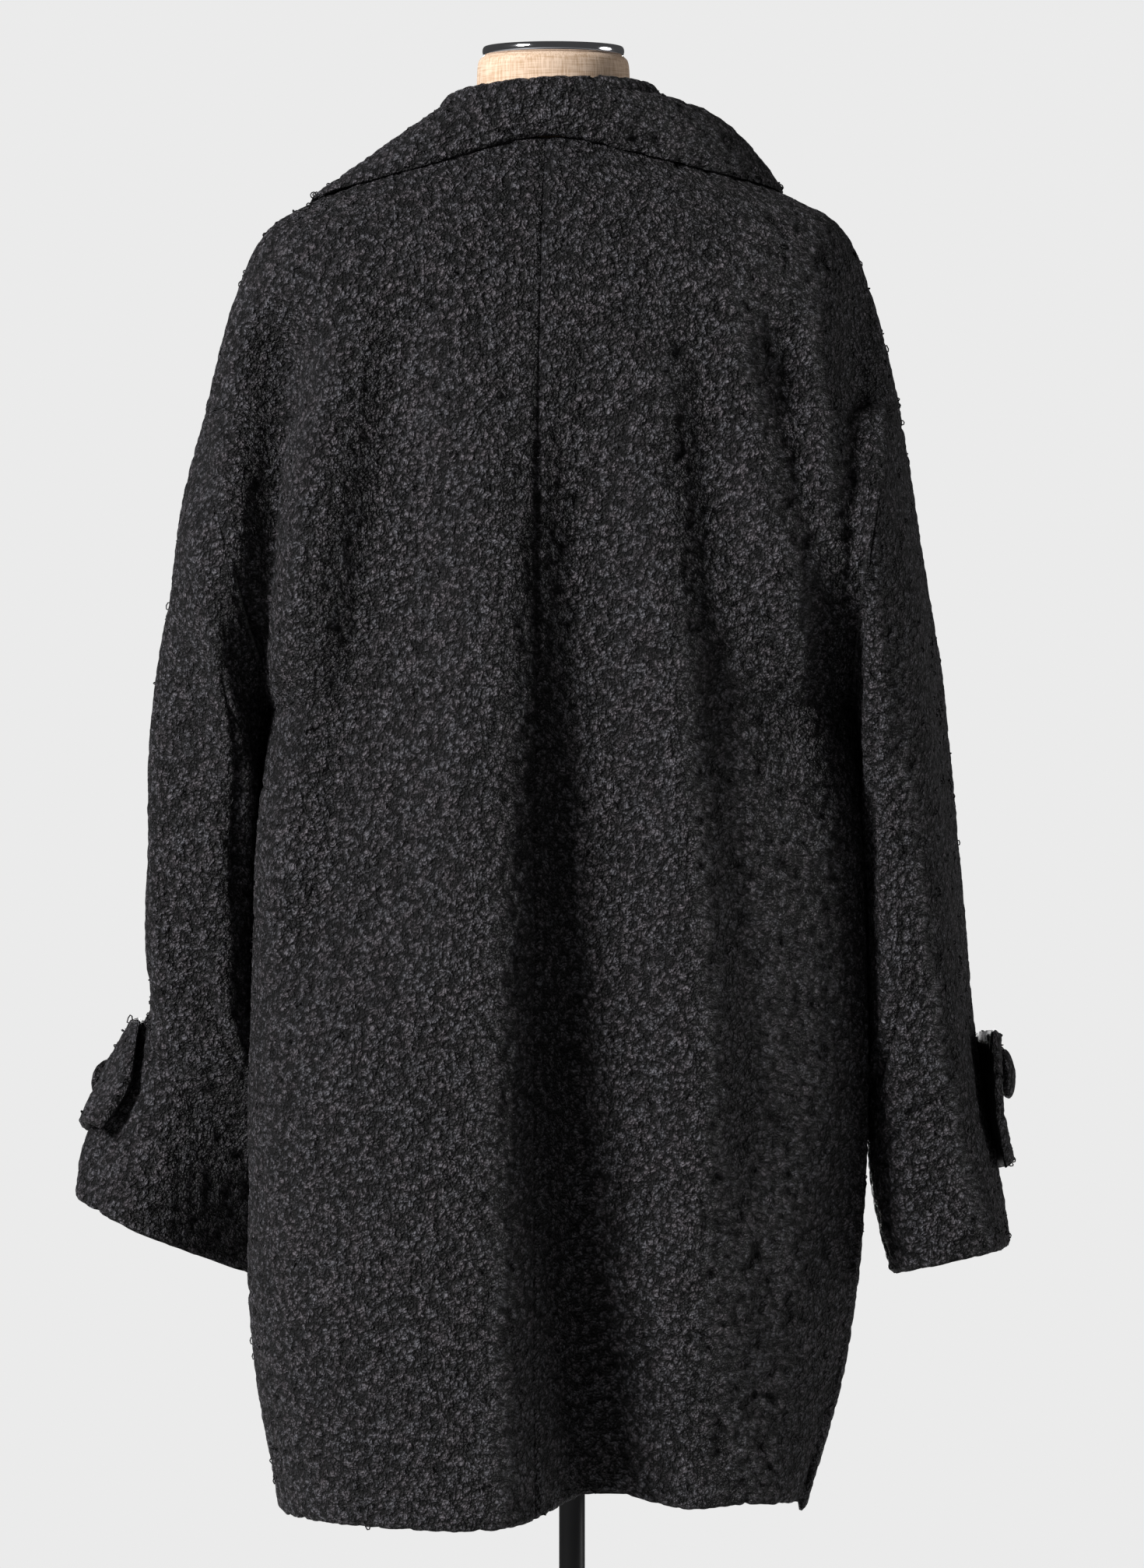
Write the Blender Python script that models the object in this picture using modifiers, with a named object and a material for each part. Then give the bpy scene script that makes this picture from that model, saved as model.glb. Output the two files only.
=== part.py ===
"""A long coat in curly wool cloth, worn by a limbless dress form on a pole stand.

Metres, +Z up. +X is the wearer's left, +Y the coat's back, and the origin is the middle of
the stand's foot. Every cloth piece is a wall between two skins, lofted through sections.
"""

import math
from collections import namedtuple

import bmesh
import bpy
import numpy as np
from mathutils import Vector

COLLECTION = "long_coat_on_dress_form"
BACK, FRONT = 1, -1
LEFT, RIGHT = 1, -1

# Cloth and how finely its skins are cut
CLOTH = 0.003  # wall of the coat
COLLAR_CLOTH = 0.004  # wall of the collar, cut double
TAB_CLOTH = 0.007  # wall of a cuff tab, cut double
SEAM = 0.0003  # clear gap where two pieces are sewn
HALF_COLUMNS = 17  # across half a back or half a front
YOKE_ROWS, ARMHOLE_ROWS, SKIRT_ROWS = 9, 10, 12
SLEEVE_ROWS = 16
COLLAR_COLUMNS = 10  # round a quarter of the neck
CURVE_SAMPLES = 160

# Where the coat and its form hang, off the pole's axis
COAT_X = 0.012

# Body of the coat: one row for each ring of cloth from neck to hem. The edge is the shoulder
# seam down to SLEEVE_HEAD and the side seam from UNDERARM; the armhole lies between.
SLEEVE_HEAD, UNDERARM, HEM = 5.0, 7.0, 11.0
Section = namedtuple(
    "Section",
    "place left_x right_x edge_y edge_z back_z back_y back_n front_z front_y front_n",
)
BODY = (
    Section(0.0, 0.062, 0.062, 0.000, 1.443, 1.438, 0.064, 2.0, 1.130, 0.119, 2.5),
    Section(1.0, 0.110, 0.110, 0.000, 1.419, 1.410, 0.084, 2.1, 1.106, 0.122, 2.5),
    Section(2.0, 0.155, 0.155, 0.000, 1.399, 1.378, 0.100, 2.2, 1.080, 0.125, 2.5),
    Section(3.0, 0.186, 0.186, 0.000, 1.378, 1.340, 0.112, 2.3, 1.054, 0.128, 2.5),
    Section(4.0, 0.206, 0.206, 0.000, 1.330, 1.296, 0.121, 2.4, 1.028, 0.131, 2.5),
    Section(5.0, 0.221, 0.221, 0.000, 1.270, 1.245, 0.128, 2.4, 1.002, 0.133, 2.5),
    Section(7.0, 0.178, 0.194, 0.000, 1.075, 1.085, 0.147, 2.5, 0.940, 0.138, 2.5),
    Section(7.4, 0.182, 0.1965, 0.010, 1.040, 1.040, 0.151, 2.5, 0.912, 0.139, 2.5),
    Section(8.0, 0.187, 0.1995, 0.022, 0.975, 0.968, 0.158, 2.5, 0.870, 0.141, 2.5),
    Section(9.0, 0.190, 0.2010, 0.030, 0.800, 0.800, 0.167, 2.5, 0.765, 0.145, 2.5),
    Section(10.0, 0.188, 0.188, 0.028, 0.670, 0.672, 0.166, 2.5, 0.660, 0.145, 2.5),
    Section(11.0, 0.171, 0.161, 0.022, 0.566, 0.561, 0.156, 2.5, 0.562, 0.138, 2.5),
)
ROW_BEND = {BACK: 1.5, FRONT: 1.2}  # how a ring climbs from the middle to its edge
EDGE_CALM = 0.14  # share of half a ring, next to its edge, where folds die out

# Folds of the body: a trough from (x_top, z_top) to (x_low, z_low), with x from the coat's
# middle, bowed sideways by bow; it leans by lean of its depth towards the wearer's left, is
# wider by skew on the other side and deepens downwards by the power of growth.
Fold = namedtuple(
    "Fold",
    "face x_top z_top x_low z_low bow deep_top deep_low wide_top wide_low lean skew growth",
    defaults=(0.0, 1.0, 1.3),
)
FOLDS = (
    Fold(BACK, 0.168, 1.350, 0.186, 1.070, -0.010, 0.044, 0.036, 0.025, 0.018, 0.0, 0.45, 1.0),
    Fold(BACK, 0.086, 1.367, 0.152, 0.850, -0.008, 0.025, 0.036, 0.022, 0.036, 0.0, 2.1, 1.5),
    Fold(BACK, -0.030, 1.381, -0.050, 0.350, 0.0120, 0.000, 0.108, 0.032, 0.035, 0.06, 2.0, 0.74),
    Fold(BACK, -0.088, 1.380, -0.158, 0.480, -0.0085, 0.014, 0.056, 0.015, 0.036, 0.0, 2.8, 0.93),
    Fold(BACK, -0.139, 1.355, -0.210, 0.980, 0.000, 0.016, 0.016, 0.016, 0.016, 0.0, 1.0, 0.6),
    Fold(BACK, -0.117, 0.845, -0.145, 0.380, 0.015, 0.000, 0.038, 0.014, 0.032, 0.0, 1.2, 0.7),
    Fold(BACK, -0.196, 1.380, -0.198, 1.050, 0.000, 0.022, 0.016, 0.014, 0.014, 0.0, 0.9, 1.0),
    Fold(FRONT, 0.172, 1.350, 0.156, 1.040, 0.000, 0.008, 0.014, 0.018, 0.022),
    Fold(FRONT, 0.104, 1.120, 0.118, 0.470, 0.008, 0.004, 0.022, 0.022, 0.030),
    Fold(FRONT, -0.098, 1.060, -0.126, 0.470, -0.006, 0.004, 0.026, 0.020, 0.028),
    Fold(FRONT, -0.174, 1.360, -0.160, 1.040, 0.000, 0.009, 0.015, 0.018, 0.022),
)
FOLD_ROOM = 0.8  # share of the depth in front of the side seams that folds may take
FOLD_FADE = 0.2  # share of a fold's length over which each end dies out
VALLEY_RAISE, RAISE_SPREAD = 0.21, 1.25  # lift of the hem at a trough, per depth; its width
RAISE_AHEAD = 0.004  # how far that lift lies towards a trough's wide side, per skew
RAISE_FROM = 9.0  # section from which the hem's lift grows

# Fronts: the right one laps over the left
LAP, LAP_COLUMNS = 0.040, 3
LAP_LIFT, LAP_HOLD, LAP_FADE = 0.0055, 0.015, 0.100
LAP_FALL, LAP_LEVEL = 0.100, 8.0  # drop of the neck edge across the lap, and where it ends

# Sleeves: the outer and the inner edge of each ring, with x from the coat's middle, its depth
# to the back and to the front, and how far its back hangs below its edges
SleeveRing = namedtuple(
    "SleeveRing", "place out_x out_y out_z in_x in_y in_z back_depth front_depth drop",
    defaults=(0.0,),
)
SLEEVES = {
    LEFT: (
        SleeveRing(0, 0.2210, 0.000, 1.270, 0.1780, 0.000, 1.075, 0.106, 0.062),
        SleeveRing(1, 0.2315, -0.010, 1.230, 0.1805, -0.006, 1.058, 0.108, 0.066),
        SleeveRing(2, 0.2405, -0.036, 1.150, 0.1820, -0.032, 1.022, 0.102, 0.071),
        SleeveRing(3, 0.2485, -0.050, 1.080, 0.1840, -0.042, 0.985, 0.094, 0.073),
        SleeveRing(4, 0.2550, -0.056, 0.990, 0.1870, -0.048, 0.930, 0.086, 0.071),
        SleeveRing(5, 0.2630, -0.050, 0.895, 0.1940, -0.052, 0.855, 0.072, 0.062),
        SleeveRing(6, 0.2760, -0.028, 0.838, 0.2040, -0.066, 0.802, 0.052, 0.046, 0.003),
        SleeveRing(7, 0.2890, -0.004, 0.790, 0.2065, -0.080, 0.752, 0.043, 0.039, 0.008),
        SleeveRing(8, 0.2930, 0.010, 0.754, 0.1980, -0.092, 0.711, 0.036, 0.034, 0.012),
    ),
    RIGHT: (
        SleeveRing(0, 0.2210, 0.000, 1.270, 0.1940, 0.000, 1.075, 0.106, 0.062),
        SleeveRing(1, 0.2275, -0.009, 1.226, 0.1955, -0.009, 1.058, 0.110, 0.066),
        SleeveRing(2, 0.2375, -0.026, 1.150, 0.1988, -0.026, 1.022, 0.114, 0.071),
        SleeveRing(3, 0.2465, -0.036, 1.080, 0.2002, -0.038, 0.985, 0.113, 0.073),
        SleeveRing(4, 0.2550, -0.038, 0.990, 0.2006, -0.041, 0.930, 0.105, 0.071),
        SleeveRing(5, 0.2645, -0.036, 0.886, 0.2008, -0.039, 0.855, 0.095, 0.064),
        SleeveRing(6, 0.2735, -0.026, 0.820, 0.2020, -0.029, 0.806, 0.078, 0.058),
        SleeveRing(7, 0.2830, -0.014, 0.775, 0.2060, -0.018, 0.764, 0.063, 0.053),
        SleeveRing(8, 0.2905, -0.004, 0.733, 0.2180, -0.007, 0.716, 0.053, 0.049),
    ),
}
CUFF = 8.0
ROUND_FROM = 2.5  # ring from which a sleeve is no longer pointed like its armhole
# how square a sleeve's rings are on their outer and inner sides; 0 is round
SQUARE = {LEFT: (2.2, 2.2), RIGHT: (2.2, 0.0)}
HOLE_SQUARE = 0.72  # power that fills out an armhole; 1 is round
HOLE_LOCAL = 4.0  # power that keeps this filling near the seam on the armhole's lower half

# Collar: stations from the left front end (0) past the left shoulder (1), the middle of the
# back (2) and the right shoulder (3) to the right front end (4). The edge is a body section.
Station = namedtuple("Station", "around stand edge puff upright")
COLLAR = (
    Station(0.00, 0.000, 0.50, 0.000, 0.00),
    Station(0.25, 0.003, 1.15, 0.002, 0.00),
    Station(0.60, 0.009, 1.85, 0.003, 0.30),
    Station(1.00, 0.014, 1.98, 0.002, 0.85),
    Station(1.25, 0.017, 1.42, 0.003, 1.00),
    Station(1.50, 0.021, 0.80, 0.005, 1.00),
    Station(2.00, 0.028, 0.06, 0.000, 1.00),
    Station(2.50, 0.026, 0.68, 0.010, 1.00),
    Station(3.00, 0.020, 1.72, 0.014, 0.85),
    Station(3.40, 0.011, 1.72, 0.004, 0.30),
    Station(3.75, 0.003, 1.15, 0.002, 0.00),
    Station(4.00, 0.000, 0.50, 0.000, 0.00),
)
COLLAR_ENDS = 0.14  # the collar starts this far round from the middle of the front
COLLAR_ROLL = 0.0075  # radius of the fold along its top
COLLAR_SEAM = 0.0008  # clear gap along the neck seam, where it is cut more coarsely
COLLAR_CLEAR = 0.0035  # gap under the collar's edge
COLLAR_EASE = 1.2  # power by which the fall comes down on the shoulder
COLLAR_REACH, COLLAR_ZONE_ROWS = 3.0, 25
STAND_ROWS, ROLL_ROWS, FALL_ROWS = 2, 4, 5

# Cuff tabs: a strap round each sleeve's outer side. Angles run from the outer edge, positive
# towards the back; places are sleeve rings.
Tab = namedtuple(
    "Tab", "side top low back_angle front_angle off_top off_low button_place button_angle"
)
TABS = {
    "left": Tab(LEFT, 5.35, 6.75, 14.0, -112.0, 0.001, 0.011, 6.0, -58.0),
    "right": Tab(RIGHT, 5.25, 6.85, 14.0, -112.0, 0.010, 0.004, 5.7, -11.0),
}
TAB_ROWS, TAB_COLUMNS = 4, 10
TAB_GAP, TAB_FREE, TAB_POINT = 0.0012, 0.25, 12.0

# Buttons: covered in the coat's own cloth, flat below and domed above
BUTTON_RADIUS, BUTTON_DOME, BUTTON_RIM = 0.016, 0.009, 0.003
BUTTON_GAP, BUTTON_STEPS, BUTTON_RINGS = 0.0012, 20, 4
FRONT_BUTTON_PLACES = {"top": 7.35, "middle": 8.75, "low": 9.95}

# Dress form: one row for each ring from the neck's top to the underside
FormRing = namedtuple("FormRing", "z half_x back_y front_y square")
FORM = (
    FormRing(1.4937, 0.0450, 0.045, 0.045, 2.0),
    FormRing(1.4900, 0.0480, 0.048, 0.048, 2.0),
    FormRing(1.4800, 0.0490, 0.049, 0.049, 2.0),
    FormRing(1.4550, 0.0495, 0.050, 0.049, 2.0),
    FormRing(1.4350, 0.0530, 0.053, 0.050, 2.0),
    FormRing(1.4200, 0.0720, 0.056, 0.050, 2.0),
    FormRing(1.4050, 0.1020, 0.061, 0.051, 2.0),
    FormRing(1.3850, 0.1340, 0.068, 0.054, 2.1),
    FormRing(1.3600, 0.1560, 0.076, 0.060, 2.2),
    FormRing(1.3200, 0.1660, 0.084, 0.072, 2.2),
    FormRing(1.2500, 0.1560, 0.090, 0.092, 2.2),
    FormRing(1.1700, 0.1440, 0.092, 0.104, 2.2),
    FormRing(1.0900, 0.1320, 0.086, 0.098, 2.2),
    FormRing(1.0000, 0.1200, 0.080, 0.086, 2.2),
    FormRing(0.9200, 0.1400, 0.083, 0.092, 2.2),
    FormRing(0.8500, 0.1560, 0.084, 0.098, 2.2),
    FormRing(0.8000, 0.1580, 0.084, 0.098, 2.2),
    FormRing(0.7900, 0.1520, 0.079, 0.092, 2.2),
)
FORM_COLUMNS = 32

# Stand
CAP_RADIUS, CAP_LOW, CAP_TOP, CAP_BEVEL = 0.0455, 1.4940, 1.5000, 0.0015
POLE_RADIUS, POLE_SIDES = 0.0083, 24
FOOT_RADIUS, FOOT_THICK, FOOT_BEVEL, FOOT_SIDES = 0.170, 0.008, 0.0015, 48

# Finishes: colour, metallic, roughness
WOOL = ("charcoal curly wool", (0.022, 0.021, 0.023), 0.0, 0.95)
LINEN = ("natural linen cover", (0.62, 0.46, 0.33), 0.0, 0.90)
CHROME = ("polished chrome", (0.80, 0.80, 0.82), 1.0, 0.12)
PAINT = ("black powder coat", (0.012, 0.012, 0.014), 0.0, 0.45)


def unit(vectors):
    """The vectors at length one."""
    return vectors / np.maximum(np.linalg.norm(vectors, axis=-1, keepdims=True), 1e-12)


def ease(share):
    """A smooth step from 0 to 1 as share goes from 0 to 1."""
    share = np.clip(share, 0.0, 1.0)
    return share * share * (3.0 - 2.0 * share)


def smooth(knots, values, at):
    """A smooth curve through (knots, values), read at the given places."""
    knots, values = np.asarray(knots, float), np.asarray(values, float)
    slopes = np.gradient(values, knots)
    at = np.clip(at, knots[0], knots[-1])
    low = np.clip(np.searchsorted(knots, at, side="right") - 1, 0, len(knots) - 2)
    span = knots[low + 1] - knots[low]
    u = (at - knots[low]) / span
    start = values[low] * (1 + 2 * u) + slopes[low] * span * u
    end = values[low + 1] * (3 - 2 * u) - slopes[low + 1] * span * (1 - u)
    return start * (1 - u) ** 2 + end * u**2


def column(rows, name, at):
    """One column of a table, read smoothly at the given places."""
    return smooth([row[0] for row in rows], [getattr(row, name) for row in rows], at)


def blunt(wave, power):
    """A sine or cosine made squarer, the more so the further power is below one."""
    return np.sign(wave) * np.abs(wave) ** power


def pointed(turn):
    """How far along its arm a ring with pointed ends is at each angle."""
    return 1.0 - 2.0 * np.abs((turn + np.pi) % (2 * np.pi) - np.pi) / np.pi


def body_edge(face, side, places):
    """Edge of one half of the body at each place: shoulder seam, armhole, side seam; and how
    much further out the armhole is filled."""
    shoulder = [row for row in BODY if row.place <= SLEEVE_HEAD]
    seam = [row for row in BODY if row.place >= UNDERARM]
    head = SLEEVES[side][0]
    turn = np.pi * (places - SLEEVE_HEAD) / (UNDERARM - SLEEVE_HEAD)
    swing = pointed(turn)
    above, below = places <= SLEEVE_HEAD, places >= UNDERARM
    hole_x = (head.out_x + head.in_x) / 2 + (head.out_x - head.in_x) / 2 * swing
    hole_z = (head.out_z + head.in_z) / 2 + (head.out_z - head.in_z) / 2 * swing
    depth = face * (head.back_depth if face == BACK else head.front_depth)
    hole_y = depth * np.sin(turn)
    full = np.where(above | below, 0.0, depth * blunt(np.sin(turn), HOLE_SQUARE) - hole_y)
    wide = "left_x" if side == LEFT else "right_x"
    x = np.where(below, column(seam, wide, places), hole_x)
    z = np.where(below, column(seam, "edge_z", places), hole_z)
    x = np.where(above, column(shoulder, wide, places), x)
    z = np.where(above, column(shoulder, "edge_z", places), z)
    y = np.where(below, column(seam, "edge_y", places), np.where(above, 0.0, hole_y))
    return [values[:, None] for values in (x, y, z, full)]


def plain_face(face, places):
    """The unfolded back or front, from its left edge to its right one, and how near an edge
    each point is (0 in the middle, 1 at the edge)."""
    name = "back" if face == BACK else "front"
    middle_z = column(BODY, name + "_z", places)[:, None]
    middle_y = face * column(BODY, name + "_y", places)[:, None]
    power = 2.0 / column(BODY, name + "_n", places)[:, None]
    turn = np.linspace(0.0, np.pi / 2, CURVE_SAMPLES + 1)[None, :]
    across = np.sin(turn) ** power
    inward = np.maximum(np.cos(turn), 0.0) ** power
    local = np.where(places < (SLEEVE_HEAD + UNDERARM) / 2, 1.0, HOLE_LOCAL)[:, None]
    halves = []
    for side in (LEFT, RIGHT):
        edge_x, edge_y, edge_z, full = body_edge(face, side, places)
        x = side * edge_x * across
        y = edge_y + (middle_y - edge_y) * inward + full * (1.0 - inward) ** local
        z = middle_z + (edge_z - middle_z) * across ** ROW_BEND[face]
        halves.append(np.stack((x, y, z), axis=-1))
    near = np.abs(np.linspace(-1.0, 1.0, 2 * CURVE_SAMPLES + 1))[None, :]
    return np.concatenate((halves[0][:, ::-1], halves[1][:, 1:]), axis=1), near


def trough(fold, x, z, spread=1.0):
    """Depth of one fold at each point of a face; spread widens it."""
    down = np.clip((fold.z_top - z) / (fold.z_top - fold.z_low), 0.0, 1.0)
    path = fold.x_top + (fold.x_low - fold.x_top) * down
    path = path + fold.bow * 4.0 * down * (1.0 - down)
    deep = fold.deep_top + (fold.deep_low - fold.deep_top) * down**fold.growth
    deep = deep * ease(down / FOLD_FADE) * ease((1.0 - down) / FOLD_FADE)
    wide = spread * (fold.wide_top + (fold.wide_low - fold.wide_top) * down)
    skew = 1.0 + (fold.skew - 1.0) * ease(2.0 * down)
    wide = np.where(x < path, wide * skew, wide)
    power = np.where(x < path, 1.0 + skew, 2.0)
    return deep * np.exp(-((np.abs(x - path) / wide) ** power))


def evenly(line, count):
    """The line cut into count even lengths."""
    run = np.cumsum(np.linalg.norm(np.diff(line, axis=0), axis=1))
    run = np.concatenate(([0.0], run))
    at = np.linspace(0.0, run[-1], count + 1)
    return np.stack([np.interp(at, run, line[:, axis]) for axis in range(3)], axis=1)


def face_grid(face, places, half_columns):
    """Outer skin of the whole back or front, folds and all: rows from neck to hem, columns
    from the left edge to the right one."""
    plain, near = plain_face(face, places)
    calm = ease((1.0 - near) / EDGE_CALM)
    skin, total = plain.copy(), np.zeros(plain.shape[:2])
    raise_by = VALLEY_RAISE * ease((places - RAISE_FROM) / (HEM - RAISE_FROM))[:, None]
    for fold in FOLDS:
        if fold.face != face:
            continue
        deep = calm * trough(fold, plain[..., 0], plain[..., 2])
        total += deep
        skin[..., 0] += fold.lean * deep
        ahead = plain[..., 0] + (fold.skew - 1.0) * RAISE_AHEAD
        level = fold._replace(skew=1.0)
        skin[..., 2] += raise_by * calm * trough(level, ahead, plain[..., 2], RAISE_SPREAD)
    seam_y = column(BODY, "edge_y", places)[:, None]
    room = FOLD_ROOM * np.maximum(face * (plain[..., 1] - seam_y), 1e-6)
    skin[..., 1] -= face * total / (1.0 + (total / room) ** 4) ** 0.25
    skin[..., 0] += COAT_X
    rows = []
    for line in skin:
        left = evenly(line[: CURVE_SAMPLES + 1], half_columns)
        right = evenly(line[CURVE_SAMPLES:], half_columns)
        rows.append(np.concatenate((left, right[1:])))
    return np.array(rows)


def lift_lap(front, normals):
    """Moves the right front out where it laps over the left one."""
    half = front.shape[1] // 2
    reach = front[:, half:, 0] - front[:, half : half + 1, 0]
    share = np.linspace(0.0, 1.0, half + 1)[None, :]
    lift = LAP_LIFT * ease((reach + LAP_FADE) / (LAP_FADE - LAP_HOLD))
    lift = lift * ease(2.0 * (1.0 - share))
    lifted = front.copy()
    lifted[:, half:] += lift[..., None] * normals[:, half:]
    return lifted


def add_lap(front, normals, places):
    """The right front's skin and normals, with the columns that lap over the left one."""
    half = front.shape[1] // 2
    lifted = lift_lap(front, normals)[:, half:]
    inner = front[:, half::-1]
    reach = inner[..., 0] - inner[:, :1, 0]
    fall = LAP_FALL * np.clip(1.0 - places / LAP_LEVEL, 0.0, 1.0)
    extra = []
    for step in range(LAP_COLUMNS, 0, -1):
        share = step / LAP_COLUMNS
        at, z = LAP * share, inner[:, 0, 2] - fall * share
        below = [
            [np.interp(at, reach[row], inner[row, :, axis]) for row in range(len(front))[::-1]]
            for axis in (2, 1)
        ]
        y = np.interp(z, *below) - LAP_LIFT
        extra.append(np.stack((inner[:, 0, 0] + at, y, z), axis=-1))
    flat = np.repeat(normals[:, half : half + 1], LAP_COLUMNS, axis=1)
    skin = np.concatenate((np.stack(extra, axis=1), lifted), axis=1)
    return skin, np.concatenate((flat, normals[:, half:]), axis=1)


def sleeve_skin(side, places, angles):
    """Points of a sleeve at each ring place (rows) and angle from its outer edge (columns)."""
    table = SLEEVES[side]
    outer = np.stack([column(table, "out_" + axis, places) for axis in "xyz"], axis=-1)
    inner = np.stack([column(table, "in_" + axis, places) for axis in "xyz"], axis=-1)
    middle, arm = (outer + inner) / 2, (outer - inner) / 2
    flat = unit(np.stack((-arm[:, 1], arm[:, 0], 0 * arm[:, 0]), axis=-1))
    filled = ease(places / ROUND_FROM)[:, None]
    square = np.where(np.cos(angles) > 0.0, *SQUARE[side])
    power = 2.0 / (2.0 + square * filled)
    swing = blunt(np.cos(angles), power) * filled + pointed(angles) * (1.0 - filled)
    sway = blunt(np.sin(angles), HOLE_SQUARE + (power - HOLE_SQUARE) * filled)
    back, front = (column(table, name, places)[:, None] for name in ("back_depth", "front_depth"))
    depth = np.where(sway > 0.0, back, front) * sway
    skin = middle[:, None] + arm[:, None] * swing[..., None] + flat[:, None] * depth[..., None]
    skin[..., 2] -= column(table, "drop", places)[:, None] * sway
    skin[..., 0] = side * skin[..., 0] + COAT_X
    return skin


def skin_normals(skin, wrap=False):
    """Unit normals of a grid of points, by the right-hand rule from rows to columns."""
    down = np.gradient(skin, axis=0)
    if wrap:
        across = np.roll(skin, -1, axis=1) - np.roll(skin, 1, axis=1)
    else:
        across = np.gradient(skin, axis=1)
    return unit(np.cross(down, across))


def collar_skin():
    """The collar's outer skin: from its seam up the stand, over the roll and down the fall."""
    places = np.linspace(0.0, COLLAR_REACH, COLLAR_ZONE_ROWS)
    front = face_grid(FRONT, places, COLLAR_COLUMNS)
    back = face_grid(BACK, places, COLLAR_COLUMNS)
    front_out, back_out = -skin_normals(front), skin_normals(back)
    front = lift_lap(front, front_out)
    half = COLLAR_COLUMNS
    for edge in (0, -1):
        shared = unit(front_out[:, edge] + back_out[:, edge])
        front_out[:, edge] = back_out[:, edge] = shared

    def ring(fronts, backs):
        parts = (fronts[:, half::-1], backs[:, 1:], fronts[:, -2 : half - 1 : -1])
        return np.concatenate(parts, axis=1)

    zone, out = ring(front, back), ring(front_out, back_out)
    around = np.linspace(0.0, 4.0, zone.shape[1])
    keep = (around >= COLLAR_ENDS) & (around <= 4.0 - COLLAR_ENDS)
    zone, out, around = zone[:, keep], out[:, keep], around[keep]
    stand, edge, puff, upright = (
        column(COLLAR, name, around)[:, None]
        for name in ("stand", "edge", "puff", "upright")
    )
    line = unit(np.gradient(zone[0], axis=0))
    on_from_seam = across_line(zone[0] - zone[1], line)
    straight_up = across_line(np.array((0.0, 0.0, 1.0)), line)
    rise = unit(on_from_seam * (1.0 - upright) + straight_up * upright)
    away = unit(out[0] - rise * (out[0] * rise).sum(axis=-1, keepdims=True))
    seam = zone[0] - away * (COLLAR_CLOTH + COLLAR_SEAM) + rise * SEAM * 2
    rows = [seam + rise * stand * step / STAND_ROWS for step in range(STAND_ROWS + 1)]
    for step in range(1, ROLL_ROWS + 1):
        turn = np.pi * step / ROLL_ROWS
        over = rise * np.sin(turn) + away * (1.0 - np.cos(turn))
        rows.append(seam + rise * stand + COLLAR_ROLL * over)
    clear = COLLAR_CLEAR + COLLAR_CLOTH
    rest = rows[-1] - (zone[0] + out[0] * clear)
    for step in range(1, FALL_ROWS + 1):
        share = step / FALL_ROWS
        under, up = read_zone(zone, places, edge * share), read_zone(out, places, edge * share)
        puffed = clear + puff * np.sin(np.pi * share)
        rows.append(under + up * puffed + rest * (1.0 - share) ** COLLAR_EASE)
    return np.array(rows)


def across_line(vectors, line):
    """The part of the vectors that is square to a line's direction, at length one."""
    return unit(vectors - line * (vectors * line).sum(axis=-1, keepdims=True))


def read_zone(zone, places, at):
    """A grid read at its own place in each column."""
    found = [
        [np.interp(at[col, 0], places, zone[:, col, axis]) for axis in range(3)]
        for col in range(zone.shape[1])
    ]
    return np.array(found)


def tab_skin(tab):
    """Outer skin of a cuff tab: the sleeve's points moved out, its pointed end standing off."""
    rows = np.linspace(tab.top, tab.low, TAB_ROWS + 1)
    share = np.linspace(0.0, 1.0, TAB_COLUMNS + 1)
    slope = np.abs(np.linspace(-1.0, 1.0, TAB_ROWS + 1))
    ends = np.radians(tab.back_angle - TAB_POINT * slope)[:, None]
    angles = ends + (math.radians(tab.front_angle) - ends) * share[None, :]
    skin = sleeve_skin(tab.side, rows, angles)
    out = -tab.side * skin_normals(skin)
    off = np.linspace(tab.off_top, tab.off_low, TAB_ROWS + 1)[:, None]
    lift = TAB_GAP + TAB_CLOTH + off * ease(1.0 - share / TAB_FREE)[None, :]
    return skin + out * lift[..., None], out


def ease_edge(skins, first_row=False, last_row=False, first_col=False, last_col=False):
    """Draws the named edges of a wall's skins back by half a seam's gap."""
    eased = []
    for skin in skins:
        skin = skin.copy()
        if first_row:
            skin[0] += unit(skin[1] - skin[0]) * SEAM / 2
        if last_row:
            skin[-1] += unit(skin[-2] - skin[-1]) * SEAM / 2
        if first_col:
            skin[:, 0] += unit(skin[:, 1] - skin[:, 0]) * SEAM / 2
        if last_col:
            skin[:, -1] += unit(skin[:, -2] - skin[:, -1]) * SEAM / 2
        eased.append(skin)
    return eased


def finish(obj, paint, sharp=math.radians(50)):
    """Shades a piece and gives it its finish."""
    name, colour, metallic, roughness = paint
    material = bpy.data.materials.get(name) or bpy.data.materials.new(name)
    material.use_nodes = True
    shader = material.node_tree.nodes["Principled BSDF"]
    shader.inputs["Base Color"].default_value = (*colour, 1.0)
    shader.inputs["Metallic"].default_value = metallic
    shader.inputs["Roughness"].default_value = roughness
    material.diffuse_color = (*colour, 1.0)
    obj.data.materials.append(material)
    obj.data.shade_smooth()
    obj.data.set_sharp_from_angle(angle=sharp)


def add_mesh(name, points, faces, paint):
    """A named object of the collection from points and faces, all facing out."""
    mesh = bpy.data.meshes.new(name)
    mesh.from_pydata([tuple(point) for point in points], [], faces)
    shell = bmesh.new()
    shell.from_mesh(mesh)
    bmesh.ops.recalc_face_normals(shell, faces=shell.faces)
    shell.to_mesh(mesh)
    shell.free()
    obj = bpy.data.objects.new(name, mesh)
    bpy.data.collections[COLLECTION].objects.link(obj)
    finish(obj, paint)
    return obj


def split_short(points, corners):
    """Two triangles across a four-sided rim's shorter way, so that sewn rims lie alike."""
    a, b, c, d = corners
    if np.linalg.norm(points[a] - points[c]) < np.linalg.norm(points[b] - points[d]):
        return [[a, b, c], [a, c, d]]
    return [[a, b, d], [b, c, d]]


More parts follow.
